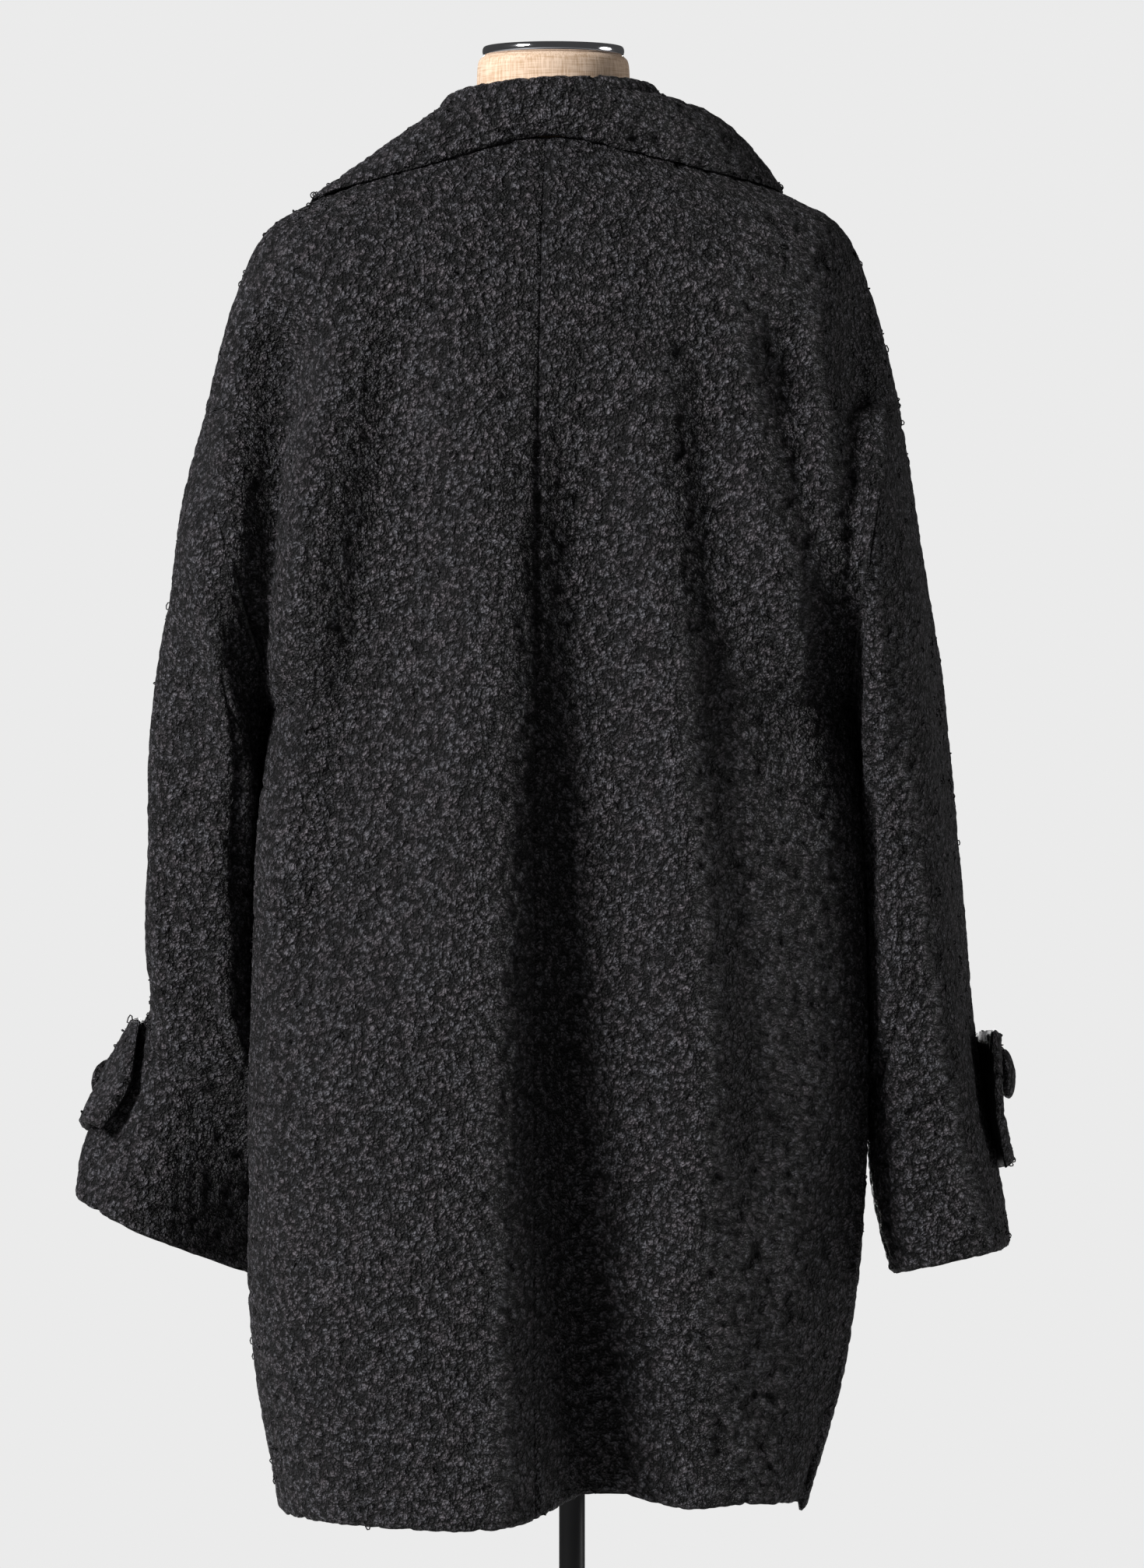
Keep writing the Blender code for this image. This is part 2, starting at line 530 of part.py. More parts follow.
def wall(name, outer, inner, paint, wrap=False):
    """A closed wall between two skins of the same grid; wrap joins its last column to its
    first one."""
    rows, cols = outer.shape[:2]
    spans = cols if wrap else cols - 1

    def at(layer, row, col):
        return (layer * rows + row) * cols + col % cols

    faces = []
    for row in range(rows - 1):
        for col in range(spans):
            for layer in (0, 1):
                corners = ((row, col), (row + 1, col), (row + 1, col + 1), (row, col + 1))
                faces.append([at(layer, *corner) for corner in corners])
    rims = [((row, col), (row, col + 1)) for row in (0, rows - 1) for col in range(spans)]
    if not wrap:
        ends = (0, cols - 1)
        rims += [((row, col), (row + 1, col)) for col in ends for row in range(rows - 1)]
    points = np.concatenate((outer.reshape(-1, 3), inner.reshape(-1, 3)))
    for here, there in rims:
        rim = (at(0, *here), at(0, *there), at(1, *there), at(1, *here))
        faces.extend(split_short(points, rim))
    return add_mesh(name, points, faces, paint)


def turned(name, profile, steps, paint, place=(0.0, 0.0, 0.0), axis=(0.0, 0.0, 1.0)):
    """A solid turned about its own Z from a profile of (radius, height), top to bottom, and
    set down with that axis along the given one."""
    mesh = bpy.data.meshes.new(name)
    points = [(radius, 0.0, height) for radius, height in profile]
    mesh.from_pydata(points, [(i, i + 1) for i in range(len(points) - 1)], [])
    obj = bpy.data.objects.new(name, mesh)
    bpy.data.collections[COLLECTION].objects.link(obj)
    screw = obj.modifiers.new("Turn", "SCREW")
    screw.steps = screw.render_steps = steps
    screw.use_merge_vertices = True
    screw.merge_threshold = 1e-5
    obj.location = place
    obj.rotation_mode = "QUATERNION"
    obj.rotation_quaternion = Vector(axis).to_track_quat("Z", "Y")
    finish(obj, paint)
    return obj


def button(name, point, normal):
    """A covered button, its flat side a little off the cloth at the point."""
    dome = [
        (BUTTON_RADIUS * math.sin(turn), BUTTON_RIM + (BUTTON_DOME - BUTTON_RIM) * math.cos(turn))
        for turn in np.linspace(0.0, math.pi / 2, BUTTON_RINGS + 1)
    ]
    under = [(BUTTON_RADIUS * 0.94, BUTTON_RIM * 0.3), (BUTTON_RADIUS * 0.8, 0.0), (0.0, 0.0)]
    profile = [(0.0, BUTTON_DOME)] + dome[1:] + under
    place = np.asarray(point) + np.asarray(normal) * BUTTON_GAP
    return turned(name, profile, BUTTON_STEPS, WOOL, tuple(place), tuple(normal))


def plate(name, radius, low, top, bevel, steps, paint, place):
    """A round plate with bevelled rims."""
    profile = [
        (0.0, top),
        (radius - bevel, top),
        (radius, top - bevel),
        (radius, low + bevel),
        (radius - bevel, low),
        (0.0, low),
    ]
    return turned(name, profile, steps, paint, place)


def build_coat():
    """Backs, fronts, sleeves and collar, each a wall of its own."""
    places = np.concatenate(
        (
            np.linspace(0.0, SLEEVE_HEAD, YOKE_ROWS, endpoint=False),
            np.linspace(SLEEVE_HEAD, UNDERARM, ARMHOLE_ROWS, endpoint=False),
            np.linspace(UNDERARM, HEM, SKIRT_ROWS),
        )
    )
    back = face_grid(BACK, places, HALF_COLUMNS)
    front = face_grid(FRONT, places, HALF_COLUMNS)
    back_out, front_out = skin_normals(back), -skin_normals(front)
    angles = np.linspace(0.0, 2 * np.pi, 2 * ARMHOLE_ROWS, endpoint=False)
    rings = np.linspace(0.0, CUFF, SLEEVE_ROWS + 1)
    for side, name, edge in ((LEFT, "left", 0), (RIGHT, "right", -1)):
        skin = sleeve_skin(side, rings, np.tile(angles, (len(rings), 1)))
        out = side * skin_normals(skin, wrap=True)
        for row in range(len(places)):
            meeting = [back_out[row, edge], front_out[row, edge]]
            step = row - YOKE_ROWS
            if 0 <= step <= ARMHOLE_ROWS:
                twins = (step, -step % len(angles))
                shared = unit(back_out[row, edge] + out[0, twins[0]])
                twin_shared = unit(front_out[row, edge] + out[0, twins[1]])
                if step in (0, ARMHOLE_ROWS):
                    shared = twin_shared = unit(unit(sum(meeting)) + out[0, twins[0]])
                out[0, twins[0]], out[0, twins[1]] = shared, twin_shared
            else:
                shared = twin_shared = unit(sum(meeting))
            back_out[row, edge], front_out[row, edge] = shared, twin_shared
        skins = ease_edge((skin, skin - CLOTH * out), first_row=True)
        wall("sleeve_" + name, *skins, WOOL, wrap=True)
    middle = HALF_COLUMNS
    inner = back - CLOTH * back_out
    edges = {"first_col": True, "last_col": True}
    wall("back_left", *ease_edge((back[:, : middle + 1], inner[:, : middle + 1]), **edges), WOOL)
    wall("back_right", *ease_edge((back[:, middle:], inner[:, middle:]), **edges), WOOL)
    inner = front - CLOTH * front_out
    left = (front[:, : middle + 1], inner[:, : middle + 1])
    wall("front_left", *ease_edge(left, first_col=True), WOOL)
    lapped, lapped_out = add_lap(front, front_out, places)
    right = (lapped, lapped - CLOTH * lapped_out)
    wall("front_right", *ease_edge(right, last_col=True), WOOL)
    collar = collar_skin()
    wall("collar", collar, collar - COLLAR_CLOTH * skin_normals(collar), WOOL)
    for name, place in FRONT_BUTTON_PLACES.items():
        row = np.interp(place, places, np.arange(len(places)))
        near = int(round(row))
        button("front_button_" + name, lapped[near, LAP_COLUMNS - 1], lapped_out[near, LAP_COLUMNS])


def build_cuffs():
    """A tab and its button on each sleeve."""
    for name, tab in TABS.items():
        skin, out = tab_skin(tab)
        wall("cuff_tab_" + name, skin, skin - TAB_CLOTH * out, WOOL)
        row = round((tab.button_place - tab.top) / (tab.low - tab.top) * TAB_ROWS)
        share = (tab.back_angle - tab.button_angle) / (tab.back_angle - tab.front_angle)
        col = round(share * TAB_COLUMNS)
        apart = skin.reshape(-1, 3) - skin[row, col]
        rise = apart @ out[row, col]
        aside = np.linalg.norm(apart - rise[:, None] * out[row, col], axis=1)
        seat = max(0.0, rise[aside < 1.6 * BUTTON_RADIUS].max())
        button("cuff_button_" + name, skin[row, col] + seat * out[row, col], out[row, col])


def build_form():
    """The dress form's covered body, its neck cap, the pole and the foot."""
    turn = np.linspace(0.0, 2 * np.pi, FORM_COLUMNS, endpoint=False)
    points, faces = [], []
    for ring in FORM:
        power = 2.0 / ring.square
        x = ring.half_x * np.sign(np.cos(turn)) * np.abs(np.cos(turn)) ** power
        depth = np.where(np.sin(turn) >= 0.0, ring.back_y, ring.front_y)
        y = depth * np.sign(np.sin(turn)) * np.abs(np.sin(turn)) ** power
        points.extend(np.stack((x + COAT_X, y, np.full_like(x, ring.z)), axis=-1))
    for row in range(len(FORM) - 1):
        for col in range(FORM_COLUMNS):
            start, end = row * FORM_COLUMNS, (col + 1) % FORM_COLUMNS
            below = start + FORM_COLUMNS
            faces.append([start + col, start + end, below + end, below + col])
    faces.append(list(range(FORM_COLUMNS)))
    faces.append(list(range((len(FORM) - 1) * FORM_COLUMNS, len(FORM) * FORM_COLUMNS)))
    add_mesh("form_body", points, faces, LINEN)
    top = (COAT_X, 0.0, 0.0)
    plate("neck_cap", CAP_RADIUS, CAP_LOW, CAP_TOP, CAP_BEVEL, FORM_COLUMNS, CHROME, top)
    foot = (0.0, 0.0, 0.0)
    plate("stand_foot", FOOT_RADIUS, 0.0, FOOT_THICK, FOOT_BEVEL, FOOT_SIDES, PAINT, foot)
    pole = [(0.0, FORM[-1].z - SEAM), (POLE_RADIUS, FORM[-1].z - SEAM)]
    pole += [(POLE_RADIUS, FOOT_THICK + SEAM), (0.0, FOOT_THICK + SEAM)]
    turned("stand_pole", pole, POLE_SIDES, PAINT)


def main():
    """Clears the scene and builds the whole object in its own collection."""
    for obj in list(bpy.data.objects):
        bpy.data.objects.remove(obj, do_unlink=True)
    collection = bpy.data.collections.new(COLLECTION)
    bpy.context.scene.collection.children.link(collection)
    build_form()
    build_coat()
    build_cuffs()


main()
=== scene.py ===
"""Dresses a long coat in curly wool and the limbless dress form that wears it.

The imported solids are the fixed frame: metres, +Z up, +X towards the wearer's left and +Y
towards the coat's back. Each cloth piece is a thin closed shell on the form of its solid.
"""

import logging
import math
from collections.abc import Callable
from dataclasses import dataclass, field
from enum import Enum
from functools import partial
from typing import NamedTuple

import bmesh
import bpy
import numpy as np
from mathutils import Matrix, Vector


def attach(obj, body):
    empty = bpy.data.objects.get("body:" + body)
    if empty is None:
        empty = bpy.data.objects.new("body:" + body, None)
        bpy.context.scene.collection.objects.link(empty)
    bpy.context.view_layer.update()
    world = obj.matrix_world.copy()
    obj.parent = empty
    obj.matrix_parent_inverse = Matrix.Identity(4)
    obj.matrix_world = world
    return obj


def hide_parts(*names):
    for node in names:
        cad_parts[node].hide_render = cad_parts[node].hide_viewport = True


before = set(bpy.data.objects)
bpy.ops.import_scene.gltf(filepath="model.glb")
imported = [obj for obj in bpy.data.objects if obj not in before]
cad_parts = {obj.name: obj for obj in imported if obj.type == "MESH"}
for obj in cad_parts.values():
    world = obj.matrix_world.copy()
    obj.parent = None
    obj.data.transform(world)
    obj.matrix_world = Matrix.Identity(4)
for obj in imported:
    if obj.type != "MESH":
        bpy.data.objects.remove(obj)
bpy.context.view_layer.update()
LOG = logging.getLogger("coat")
BODY = "root"
COAT_X = 0.012  # the coat and its form hang this far off the pole's axis
SEAM = 0.0003  # clear gap where two pieces are sewn
SHARP = math.radians(40)  # a turned piece shows an edge where it bends by more
MIX_CELL = (73856093, 19349663, 83492791)  # factors that tell neighbouring cells apart
MIX_SEED = 40503
MIX_TURNS = (0x2C1B3C6D, 0x297A2D39, 0x1B56C4E9)
MIX_MASK = 0xFFFFFFFF


class Face(Enum):
    """The two faces of the coat's body, as a sign along Y."""

    BACK = 1
    FRONT = -1


class Side(Enum):
    """The wearer's two sides, as a sign along X."""

    LEFT = 1
    RIGHT = -1


class Edge(Enum):
    """The four edges of a grid of points."""

    TOP = "first row"
    LOW = "last row"
    START = "first column"
    END = "last column"


class Slot(Enum):
    """The material slots."""

    WOOL = "curly_wool"
    LINEN = "linen"
    CHROME = "chrome"
    PAINT = "black_paint"


class Section(NamedTuple):
    """One ring of the coat's body: its edge and the middle of its back and front."""

    place: float
    left_x: float
    right_x: float
    edge_y: float
    edge_z: float
    back_z: float
    back_y: float
    back_n: float
    front_z: float
    front_y: float
    front_n: float


class Fold(NamedTuple):
    """A trough of a body face from top to low; a depth below zero makes a ridge.

    It leans by lean of its depth to the wearer's left, is skew times as wide on their right,
    and deepens on its way down by the power growth.
    """

    face: Face
    x_top: float
    z_top: float
    x_low: float
    z_low: float
    bow: float
    deep_top: float
    deep_low: float
    wide_top: float
    wide_low: float
    lean: float = 0.0
    skew: float = 1.0
    growth: float = 1.3


class SleeveRing(NamedTuple):
    """Outer and inner edge of one ring of a sleeve, with x from the coat's middle.

    The drop is how far its back hangs below, and its front rises above, the middle.
    """

    place: float
    out_x: float
    out_y: float
    out_z: float
    in_x: float
    in_y: float
    in_z: float
    back_depth: float
    front_depth: float
    drop: float = 0.0


class SleeveCrease(NamedTuple):
    """A trough along a sleeve; angles run from its outer edge, positive to the back."""

    side: Side
    place_top: float
    angle_top: float
    place_low: float
    angle_low: float
    deep: float
    wide: float


class Station(NamedTuple):
    """The collar at one station round the neck."""

    around: float
    stand: float
    edge: float
    puff: float
    upright: float


class Tab(NamedTuple):
    """A cuff strap: the sleeve rings and angles that it lies on, and how it stands off."""

    side: Side
    top: float
    low: float
    back_angle: float
    front_angle: float
    off_top: float
    off_low: float


class FormRing(NamedTuple):
    """One ring of the dress form."""

    z: float
    half_x: float
    back_y: float
    front_y: float
    square: float


def table(kind: Callable, *rows: tuple) -> tuple:
    """Makes a table of named rows."""
    return tuple(kind(*row) for row in rows)


def unit(vectors: np.ndarray) -> np.ndarray:
    """Gives the vectors at length one."""
    return vectors / np.maximum(np.linalg.norm(vectors, axis=-1, keepdims=True), 1e-12)


def ease(share: np.ndarray) -> np.ndarray:
    """Gives a smooth step from 0 to 1 as share goes from 0 to 1."""
    share = np.clip(share, 0.0, 1.0)
    return share * share * (3.0 - 2.0 * share)


def smooth(knots: list, values: list, at: np.ndarray) -> np.ndarray:
    """Reads a smooth curve.

    Args:
        knots: places along the curve, rising.
        values: the curve's value at each knot.
        at: places to read.

    Returns:
        The curve's value at each place.
    """
    knots, values = np.asarray(knots, float), np.asarray(values, float)
    slopes = np.gradient(values, knots)
    at = np.clip(at, knots[0], knots[-1])
    low = np.clip(np.searchsorted(knots, at, side="right") - 1, 0, len(knots) - 2)
    span = knots[low + 1] - knots[low]
    u = (at - knots[low]) / span
    start = values[low] * (1 + 2 * u) + slopes[low] * span * u
    end = values[low + 1] * (3 - 2 * u) - slopes[low + 1] * span * (1 - u)
    return start * (1 - u) ** 2 + end * u**2


def column(rows: tuple, name: str, at: np.ndarray) -> np.ndarray:
    """Reads one column of a table smoothly at the given places."""
    return smooth([row[0] for row in rows], [getattr(row, name) for row in rows], at)


def evenly(line: np.ndarray, count: int) -> np.ndarray:
    """Cuts a line of points evenly.

    Args:
        line: points by three.
        count: how many even lengths to cut.

    Returns:
        The ends of those lengths, one more than count.
    """
    run = np.cumsum(np.linalg.norm(np.diff(line, axis=0), axis=1))
    run = np.concatenate(([0.0], run))
    at = np.linspace(0.0, run[-1], count + 1)
    return np.stack([np.interp(at, run, line[:, axis]) for axis in range(3)], axis=1)


def skin_normals(skin: np.ndarray, wrap: bool = False) -> np.ndarray:
    """Gives the normals of a grid of points.

    Args:
        skin: rows by columns by three.
        wrap: whether the last column joins the first one.

    Returns:
        A normal of length one for each point, turned from rows to columns.
    """
    down = np.gradient(skin, axis=0)
    if wrap:
        across = np.roll(skin, -1, axis=1) - np.roll(skin, 1, axis=1)
    else:
        across = np.gradient(skin, axis=1)
    return unit(np.cross(down, across))


def square_to(vectors: np.ndarray, line: np.ndarray) -> np.ndarray:
    """Gives the part of the vectors that is square to a line's direction, at length one."""
    return unit(vectors - line * (vectors * line).sum(axis=-1, keepdims=True))


def edge_run(points: np.ndarray, edge: Edge) -> np.ndarray:
    """Measures how far each point of a grid is from one of its edges.

    Args:
        points: the grid, rows by columns by three.
        edge: the edge to measure from, along rows or columns.

    Returns:
        Metres along the grid's own lines, rows by columns.
    """
    axis = 0 if edge in (Edge.TOP, Edge.LOW) else 1
    steps = np.linalg.norm(np.diff(points, axis=axis), axis=-1)
    flip = edge in (Edge.LOW, Edge.END)
    steps = np.flip(steps, axis) if flip else steps
    run = np.cumsum(steps, axis=axis)
    run = np.concatenate((np.zeros_like(np.take(run, [0], axis)), run), axis=axis)
    return np.flip(run, axis) if flip else run


def scramble(cells: np.ndarray, seed: int) -> np.ndarray:
    """Gives three fixed numbers from 0 to 1 for each whole-numbered cell.

    Args:
        cells: whole numbers, points by three.
        seed: picks another set of numbers.

    Returns:
        Points by three.
    """
    mixed = np.bitwise_xor.reduce(cells * np.array(MIX_CELL), axis=1)
    mixed = (mixed ^ (seed * MIX_SEED)) & MIX_MASK
    found = []
    for turn in MIX_TURNS:
        mixed = ((mixed ^ (mixed >> 15)) * turn) & MIX_MASK
        mixed = mixed ^ (mixed >> 13)
        found.append(mixed / MIX_MASK)
    return np.stack(found, axis=1)


def drift(points: np.ndarray, size: float, seed: int) -> np.ndarray:
    """Gives a slow random field that runs on from piece to piece.

    Args:
        points: points by three.
        size: metres from one swell to the next.
        seed: picks another field.

    Returns:
        Three numbers from -1 to 1 for each point.
    """
    at = points / size
    low = np.floor(at).astype(np.int64)
    share = ease(at - low)
    total = np.zeros_like(points)
    for corner in np.ndindex(2, 2, 2):
        weight = np.prod(np.where(corner, share, 1.0 - share), axis=1)
        total += weight[:, None] * scramble(low + np.array(corner), seed)
    return 2.0 * total - 1.0


@dataclass
class CurlField:
    """The curls of the wool: yarn nubs packed in space, read where the cloth cuts them."""

    nub: float = 0.0082  # from one big nub to the next
    curl: float = 0.0050  # from one small loop to the next
    nub_share: float = 0.72
    stretch: float = 1.7  # how much longer than wide a nub is
    reach: float = 0.74  # half a nub's width, per spacing
    jitter: float = 0.8
    warp: float = 0.0022
    warp_size: float = 0.011
    seed: int = 11

    def packed(self, points: np.ndarray, spacing: float, seed: int) -> np.ndarray:
        """Reads one size of nub.

        Args:
            points: points by three.
            spacing: metres from nub to nub.
            seed: picks another packing.

        Returns:
            Height from 0 in a pit to 1 on a nub's top, for each point.
        """
        at = points / spacing
        home = np.floor(at).astype(np.int64)
        best = np.zeros(len(at))
        for offset in np.ndindex(3, 3, 3):
            cell = home + np.array(offset) - 1
            place, aim = scramble(cell, seed), scramble(cell, seed + 1) - 0.5
            away = at - cell - 0.5 - self.jitter * (place - 0.5)
            along = (away * unit(aim)).sum(axis=1)
            gap = (away * away).sum(axis=1) - (1.0 - self.stretch**-2) * along**2
            best = np.maximum(best, 1.0 - gap / self.reach**2)
        return np.sqrt(best)

    def height(self, points: np.ndarray) -> np.ndarray:
        """Gives the curls' height.

        Args:
            points: a grid of points.

        Returns:
            0 to 1 for each point.
        """
        flat = points.reshape(-1, 3)
        flat = flat + self.warp * drift(flat, self.warp_size, self.seed)
        nubs = self.packed(flat, self.nub, self.seed + 1)
        loops = self.packed(flat, self.curl, self.seed + 3)
        return (self.nub_share * nubs + (1 - self.nub_share) * loops).reshape(points.shape[:-1])


def linear(colour: str) -> tuple[float, float, float, float]:
    """Turns a colour to linear light.

    Args:
        colour: an sRGB hex value.

    Returns:
        Linear RGBA.
    """
    parts = [int(colour[i : i + 2], 16) / 255 for i in (1, 3, 5)]
    parts = [p / 12.92 if p <= 0.04045 else ((p + 0.055) / 1.055) ** 2.4 for p in parts]
    return (*parts, 1.0)


def add_node(
    tree: bpy.types.NodeTree, kind: str, inputs: dict, out: int | str = 0, **settings
) -> bpy.types.NodeSocket | None:
    """Adds a node with its settings and links.

    Args:
        tree: the material's or world's nodes.
        kind: Blender's name for the node, less "ShaderNode".
        inputs: a value, or a socket to link from, for each input by name or number.
        out: the output to give, by name or number.
        settings: the node's own settings; stops sets a colour ramp's (place, colour) pairs.

    Returns:
        The new node's output, if it has one.
    """
    node = tree.nodes.new("ShaderNode" + kind)
    stops = settings.pop("stops", ())
    for name, value in settings.items():
        setattr(node, name, value)
    for index, (place, colour) in enumerate(stops):
        ramp = node.color_ramp.elements
        stop = ramp[index] if index < 2 else ramp.new(place)
        stop.position, stop.color = place, linear(colour)
    for name, value in inputs.items():
        if isinstance(value, bpy.types.NodeSocket):
            tree.links.new(value, node.inputs[name])
        else:
            node.inputs[name].default_value = value
    return node.outputs[out] if node.outputs else None


def new_material(name: str) -> tuple[bpy.types.Material, bpy.types.NodeTree]:
    """Makes an empty material.

    Args:
        name: what the finish is and how it was made.

    Returns:
        The material and its nodes.
    """
    material = bpy.data.materials.new(name)
    material.use_nodes = True
    material.node_tree.nodes.clear()
    return material, material.node_tree


@dataclass(frozen=True)
class LoopedWool:
    """Wool and mohair yarn woven with loops, matt: its colour paints light on the loop tops and
    shade in the pits.
    """

    # From pit to top the colours are painted shade and painted light by the curls' height: shade in
    # the pits and on the slopes, light on the loops, a painted highlight on the tops.
    pit_shade_and_dark_rib: str = "#030303"
    slope: str = "#161516"
    painted_loop_light: str = "#413e42"
    top: str = "#716e74"
    warm: str = "#3a3436"
    cool: str = "#323538"
    inside: str = "#1b1b1d"
    haze: str = "#a9a9b0"
    pebble_mm: float = 4.4  # one curled loop of the face
    loop_mm: float = 1.9  # strands of a curl, drawn coarser than yarn to show
    fibre_mm: float = 0.9  # real fibres are 0.03 mm; drawn coarse enough to show
    melange_mm: float = 12.0
    twill_mm: float = 2.4  # ribs of the plain inner side, drawn twice their size to show
    wander_mm: float = 5.0
    wander: float = 0.0040  # how far the loops stray from an even packing, in metres
    loop_share: float = 0.46
    curl_share: float = 0.28
    fibre_tone: float = 0.12
    dye_share: float = 0.30
    fuzz: float = 0.40
    relief: float = 0.0060

    @staticmethod
    def domes(
        tree: bpy.types.NodeTree, place: bpy.types.NodeSocket, size_mm: float
    ) -> bpy.types.NodeSocket:
        """Packs round domes of one size.

        Args:
            tree: the material's nodes.
            place: the point to read.
            size_mm: from one dome to the next.

        Returns:
            Height from 0 between the domes to 1 on their tops.
        """
        cells = {"Vector": place, "Scale": 1000 / size_mm}
        away = add_node(tree, "TexVoronoi", cells, "Distance", feature="F1")
        square = add_node(tree, "Math", {0: away, 1: 2.0}, operation="POWER")
        return add_node(tree, "MapRange", {"Value": square, 1: 0.0, 2: 0.46, 3: 1.0, 4: 0.0})

    def material(self) -> bpy.types.Material:
        """Makes the finish.

        Returns:
            The wool's material; it reads the meshes' curl and nap attributes.
        """
        material, tree = new_material("looped_wool_woven")
        place = add_node(tree, "TexCoord", {}, "Object")
        curl = add_node(tree, "Attribute", {}, "Fac", attribute_name="curl")
        nap = add_node(tree, "Attribute", {}, "Fac", attribute_name="nap")
        slow = {"Vector": place, "Scale": 1000 / self.wander_mm, "Detail": 1.0}
        stray = {0: add_node(tree, "TexNoise", slow, "Color"), 1: (self.wander,) * 3, 2: place}
        bent = add_node(tree, "VectorMath", stray, operation="MULTIPLY_ADD")
        pebbles = self.domes(tree, bent, self.pebble_mm)
        loops = self.domes(tree, bent, self.loop_mm)
        fine = {"Vector": bent, "Scale": 1000 / self.fibre_mm, "Detail": 2.0, "Distortion": 0.6}
        fibres = add_node(tree, "TexNoise", fine, "Fac")
        packed = {0: self.loop_share, 2: pebbles, 3: loops}
        relief = add_node(tree, "Mix", packed, data_type="FLOAT")
        deep = add_node(tree, "Mix", {0: self.curl_share, 2: relief, 3: curl}, data_type="FLOAT")
        spread = {"Value": fibres, 1: 0.3, 2: 0.7, 3: -self.fibre_tone, 4: self.fibre_tone}
        tone = add_node(tree, "MapRange", spread)
        tone = add_node(tree, "Math", {0: deep, 1: tone}, operation="ADD")
        # The curls' height picks the colour: painted shade in the pits and on the slopes, painted
        # light and a painted highlight on the loop tops.
        stops = ((0.22, self.pit_shade_and_dark_rib), (0.44, self.slope), (0.64, self.painted_loop_light), (0.88, self.top))
        shade = add_node(tree, "ValToRGB", {"Fac": tone}, stops=stops)
        patches = {"Vector": place, "Scale": 1000 / self.melange_mm, "Detail": 3.0}
        blend = add_node(tree, "TexNoise", patches, "Fac")
        stops = ((0.36, self.warm), (0.62, self.cool))
        hue = add_node(tree, "ValToRGB", {"Fac": blend}, stops=stops)
        dyed = add_node(
            tree, "Mix", {0: self.dye_share, 6: shade, 7: hue}, 2,
            data_type="RGBA", blend_type="COLOR",
        )
        twill = {"Vector": place, "Scale": 1000 / self.twill_mm / 3.14, "Distortion": 0.4}
        ribs = add_node(tree, "TexWave", twill, "Fac", bands_direction="DIAGONAL")
        stops = ((0.2, self.pit_shade_and_dark_rib), (0.8, self.inside))
        back = add_node(tree, "ValToRGB", {"Fac": ribs}, stops=stops)
        colour = add_node(tree, "Mix", {0: nap, 6: back, 7: dyed}, 2, data_type="RGBA")
        fuzz = add_node(tree, "Math", {0: fibres, 1: self.fuzz}, operation="MULTIPLY")
        height = add_node(tree, "Math", {0: relief, 1: fuzz}, operation="ADD")
        worn = add_node(tree, "Math", {0: height, 1: nap}, operation="MULTIPLY")
        bump = {"Strength": 1.0, "Distance": self.relief, "Height": worn}
        shader = {
            "Base Color": colour, "Roughness": 0.55, "Specular IOR Level": 0.26, "IOR": 1.54,
            "Sheen Weight": 0.03, "Sheen Roughness": 0.5, "Sheen Tint": linear(self.haze),
            "Normal": add_node(tree, "Bump", bump),
        }
        add_node(tree, "OutputMaterial", {0: add_node(tree, "BsdfPrincipled", shader)})
        return material


@dataclass(frozen=True)
class LinenCover:
    """Natural linen, plain-woven and stretched: uneven slubs and a fine grid of threads."""

    light: str = "#efd3ba"
    dark: str = "#c9a98a"
    slub: str = "#b89675"
    thread_mm: float = 0.9  # real threads are 0.5 mm; drawn coarser to show
    slub_mm: float = 2.2
    slub_share: float = 0.55

    def material(self) -> bpy.types.Material:
        """Makes the finish.

        Returns:
            The linen's material.
        """
        material, tree = new_material("linen_plain_woven")
        place = add_node(tree, "TexCoord", {}, "Object")
        sorts = (
            ((1.0, 1.0, 0.05), self.thread_mm, 1.0),
            ((0.05, 0.05, 1.0), self.thread_mm, 1.0),
            ((1.0, 1.0, 0.03), self.slub_mm, 2.0),
        )
        streaks = []
        for stretch, size_mm, detail in sorts:
            spread = add_node(tree, "Mapping", {"Vector": place, "Scale": stretch})
            noise = {"Vector": spread, "Scale": 1000 / size_mm, "Detail": detail}
            streaks.append(add_node(tree, "TexNoise", noise, "Fac"))
        upright, level, slubs = streaks
        weave = add_node(tree, "Math", {0: upright, 1: level}, operation="ADD")
        weave = add_node(tree, "Math", {0: weave, 1: 0.5}, operation="MULTIPLY")
        stops = ((0.36, self.dark), (0.58, self.light))
        tone = add_node(tree, "ValToRGB", {"Fac": weave}, stops=stops)
        thick = {"Value": slubs, 1: 0.52, 2: 0.72, 3: 0.0, 4: self.slub_share}
        dyed = {0: add_node(tree, "MapRange", thick), 6: tone, 7: linear(self.slub)}
        bump = {"Strength": 0.5, "Distance": 0.0004, "Height": weave}
        shader = {
            "Base Color": add_node(tree, "Mix", dyed, 2, data_type="RGBA"),
            "Roughness": 0.85, "IOR": 1.5, "Specular IOR Level": 0.3,
            "Sheen Weight": 0.12, "Sheen Roughness": 0.5, "Normal": add_node(tree, "Bump", bump),
        }
        add_node(tree, "OutputMaterial", {0: add_node(tree, "BsdfPrincipled", shader)})
        return material


@dataclass(frozen=True)
class ChromePlate:
    """Polished chrome plate on turned steel: a mirror with faint handling marks."""

    metal: str = "#d6d6da"
    smear_mm: float = 14.0

    def material(self) -> bpy.types.Material:
        """Makes the finish.

        Returns:
            The chrome's material.
        """
        material, tree = new_material("chrome_plated_polished")
        place = add_node(tree, "TexCoord", {}, "Object")
        marks = {"Vector": place, "Scale": 1000 / self.smear_mm, "Detail": 4.0}
        smears = add_node(tree, "TexNoise", marks, "Fac")
        rough = add_node(tree, "MapRange", {"Value": smears, 1: 0.3, 2: 0.8, 3: 0.05, 4: 0.16})
        shader = {"Base Color": linear(self.metal), "Metallic": 1.0, "Roughness": rough}
        add_node(tree, "OutputMaterial", {0: add_node(tree, "BsdfPrincipled", shader)})
        return material


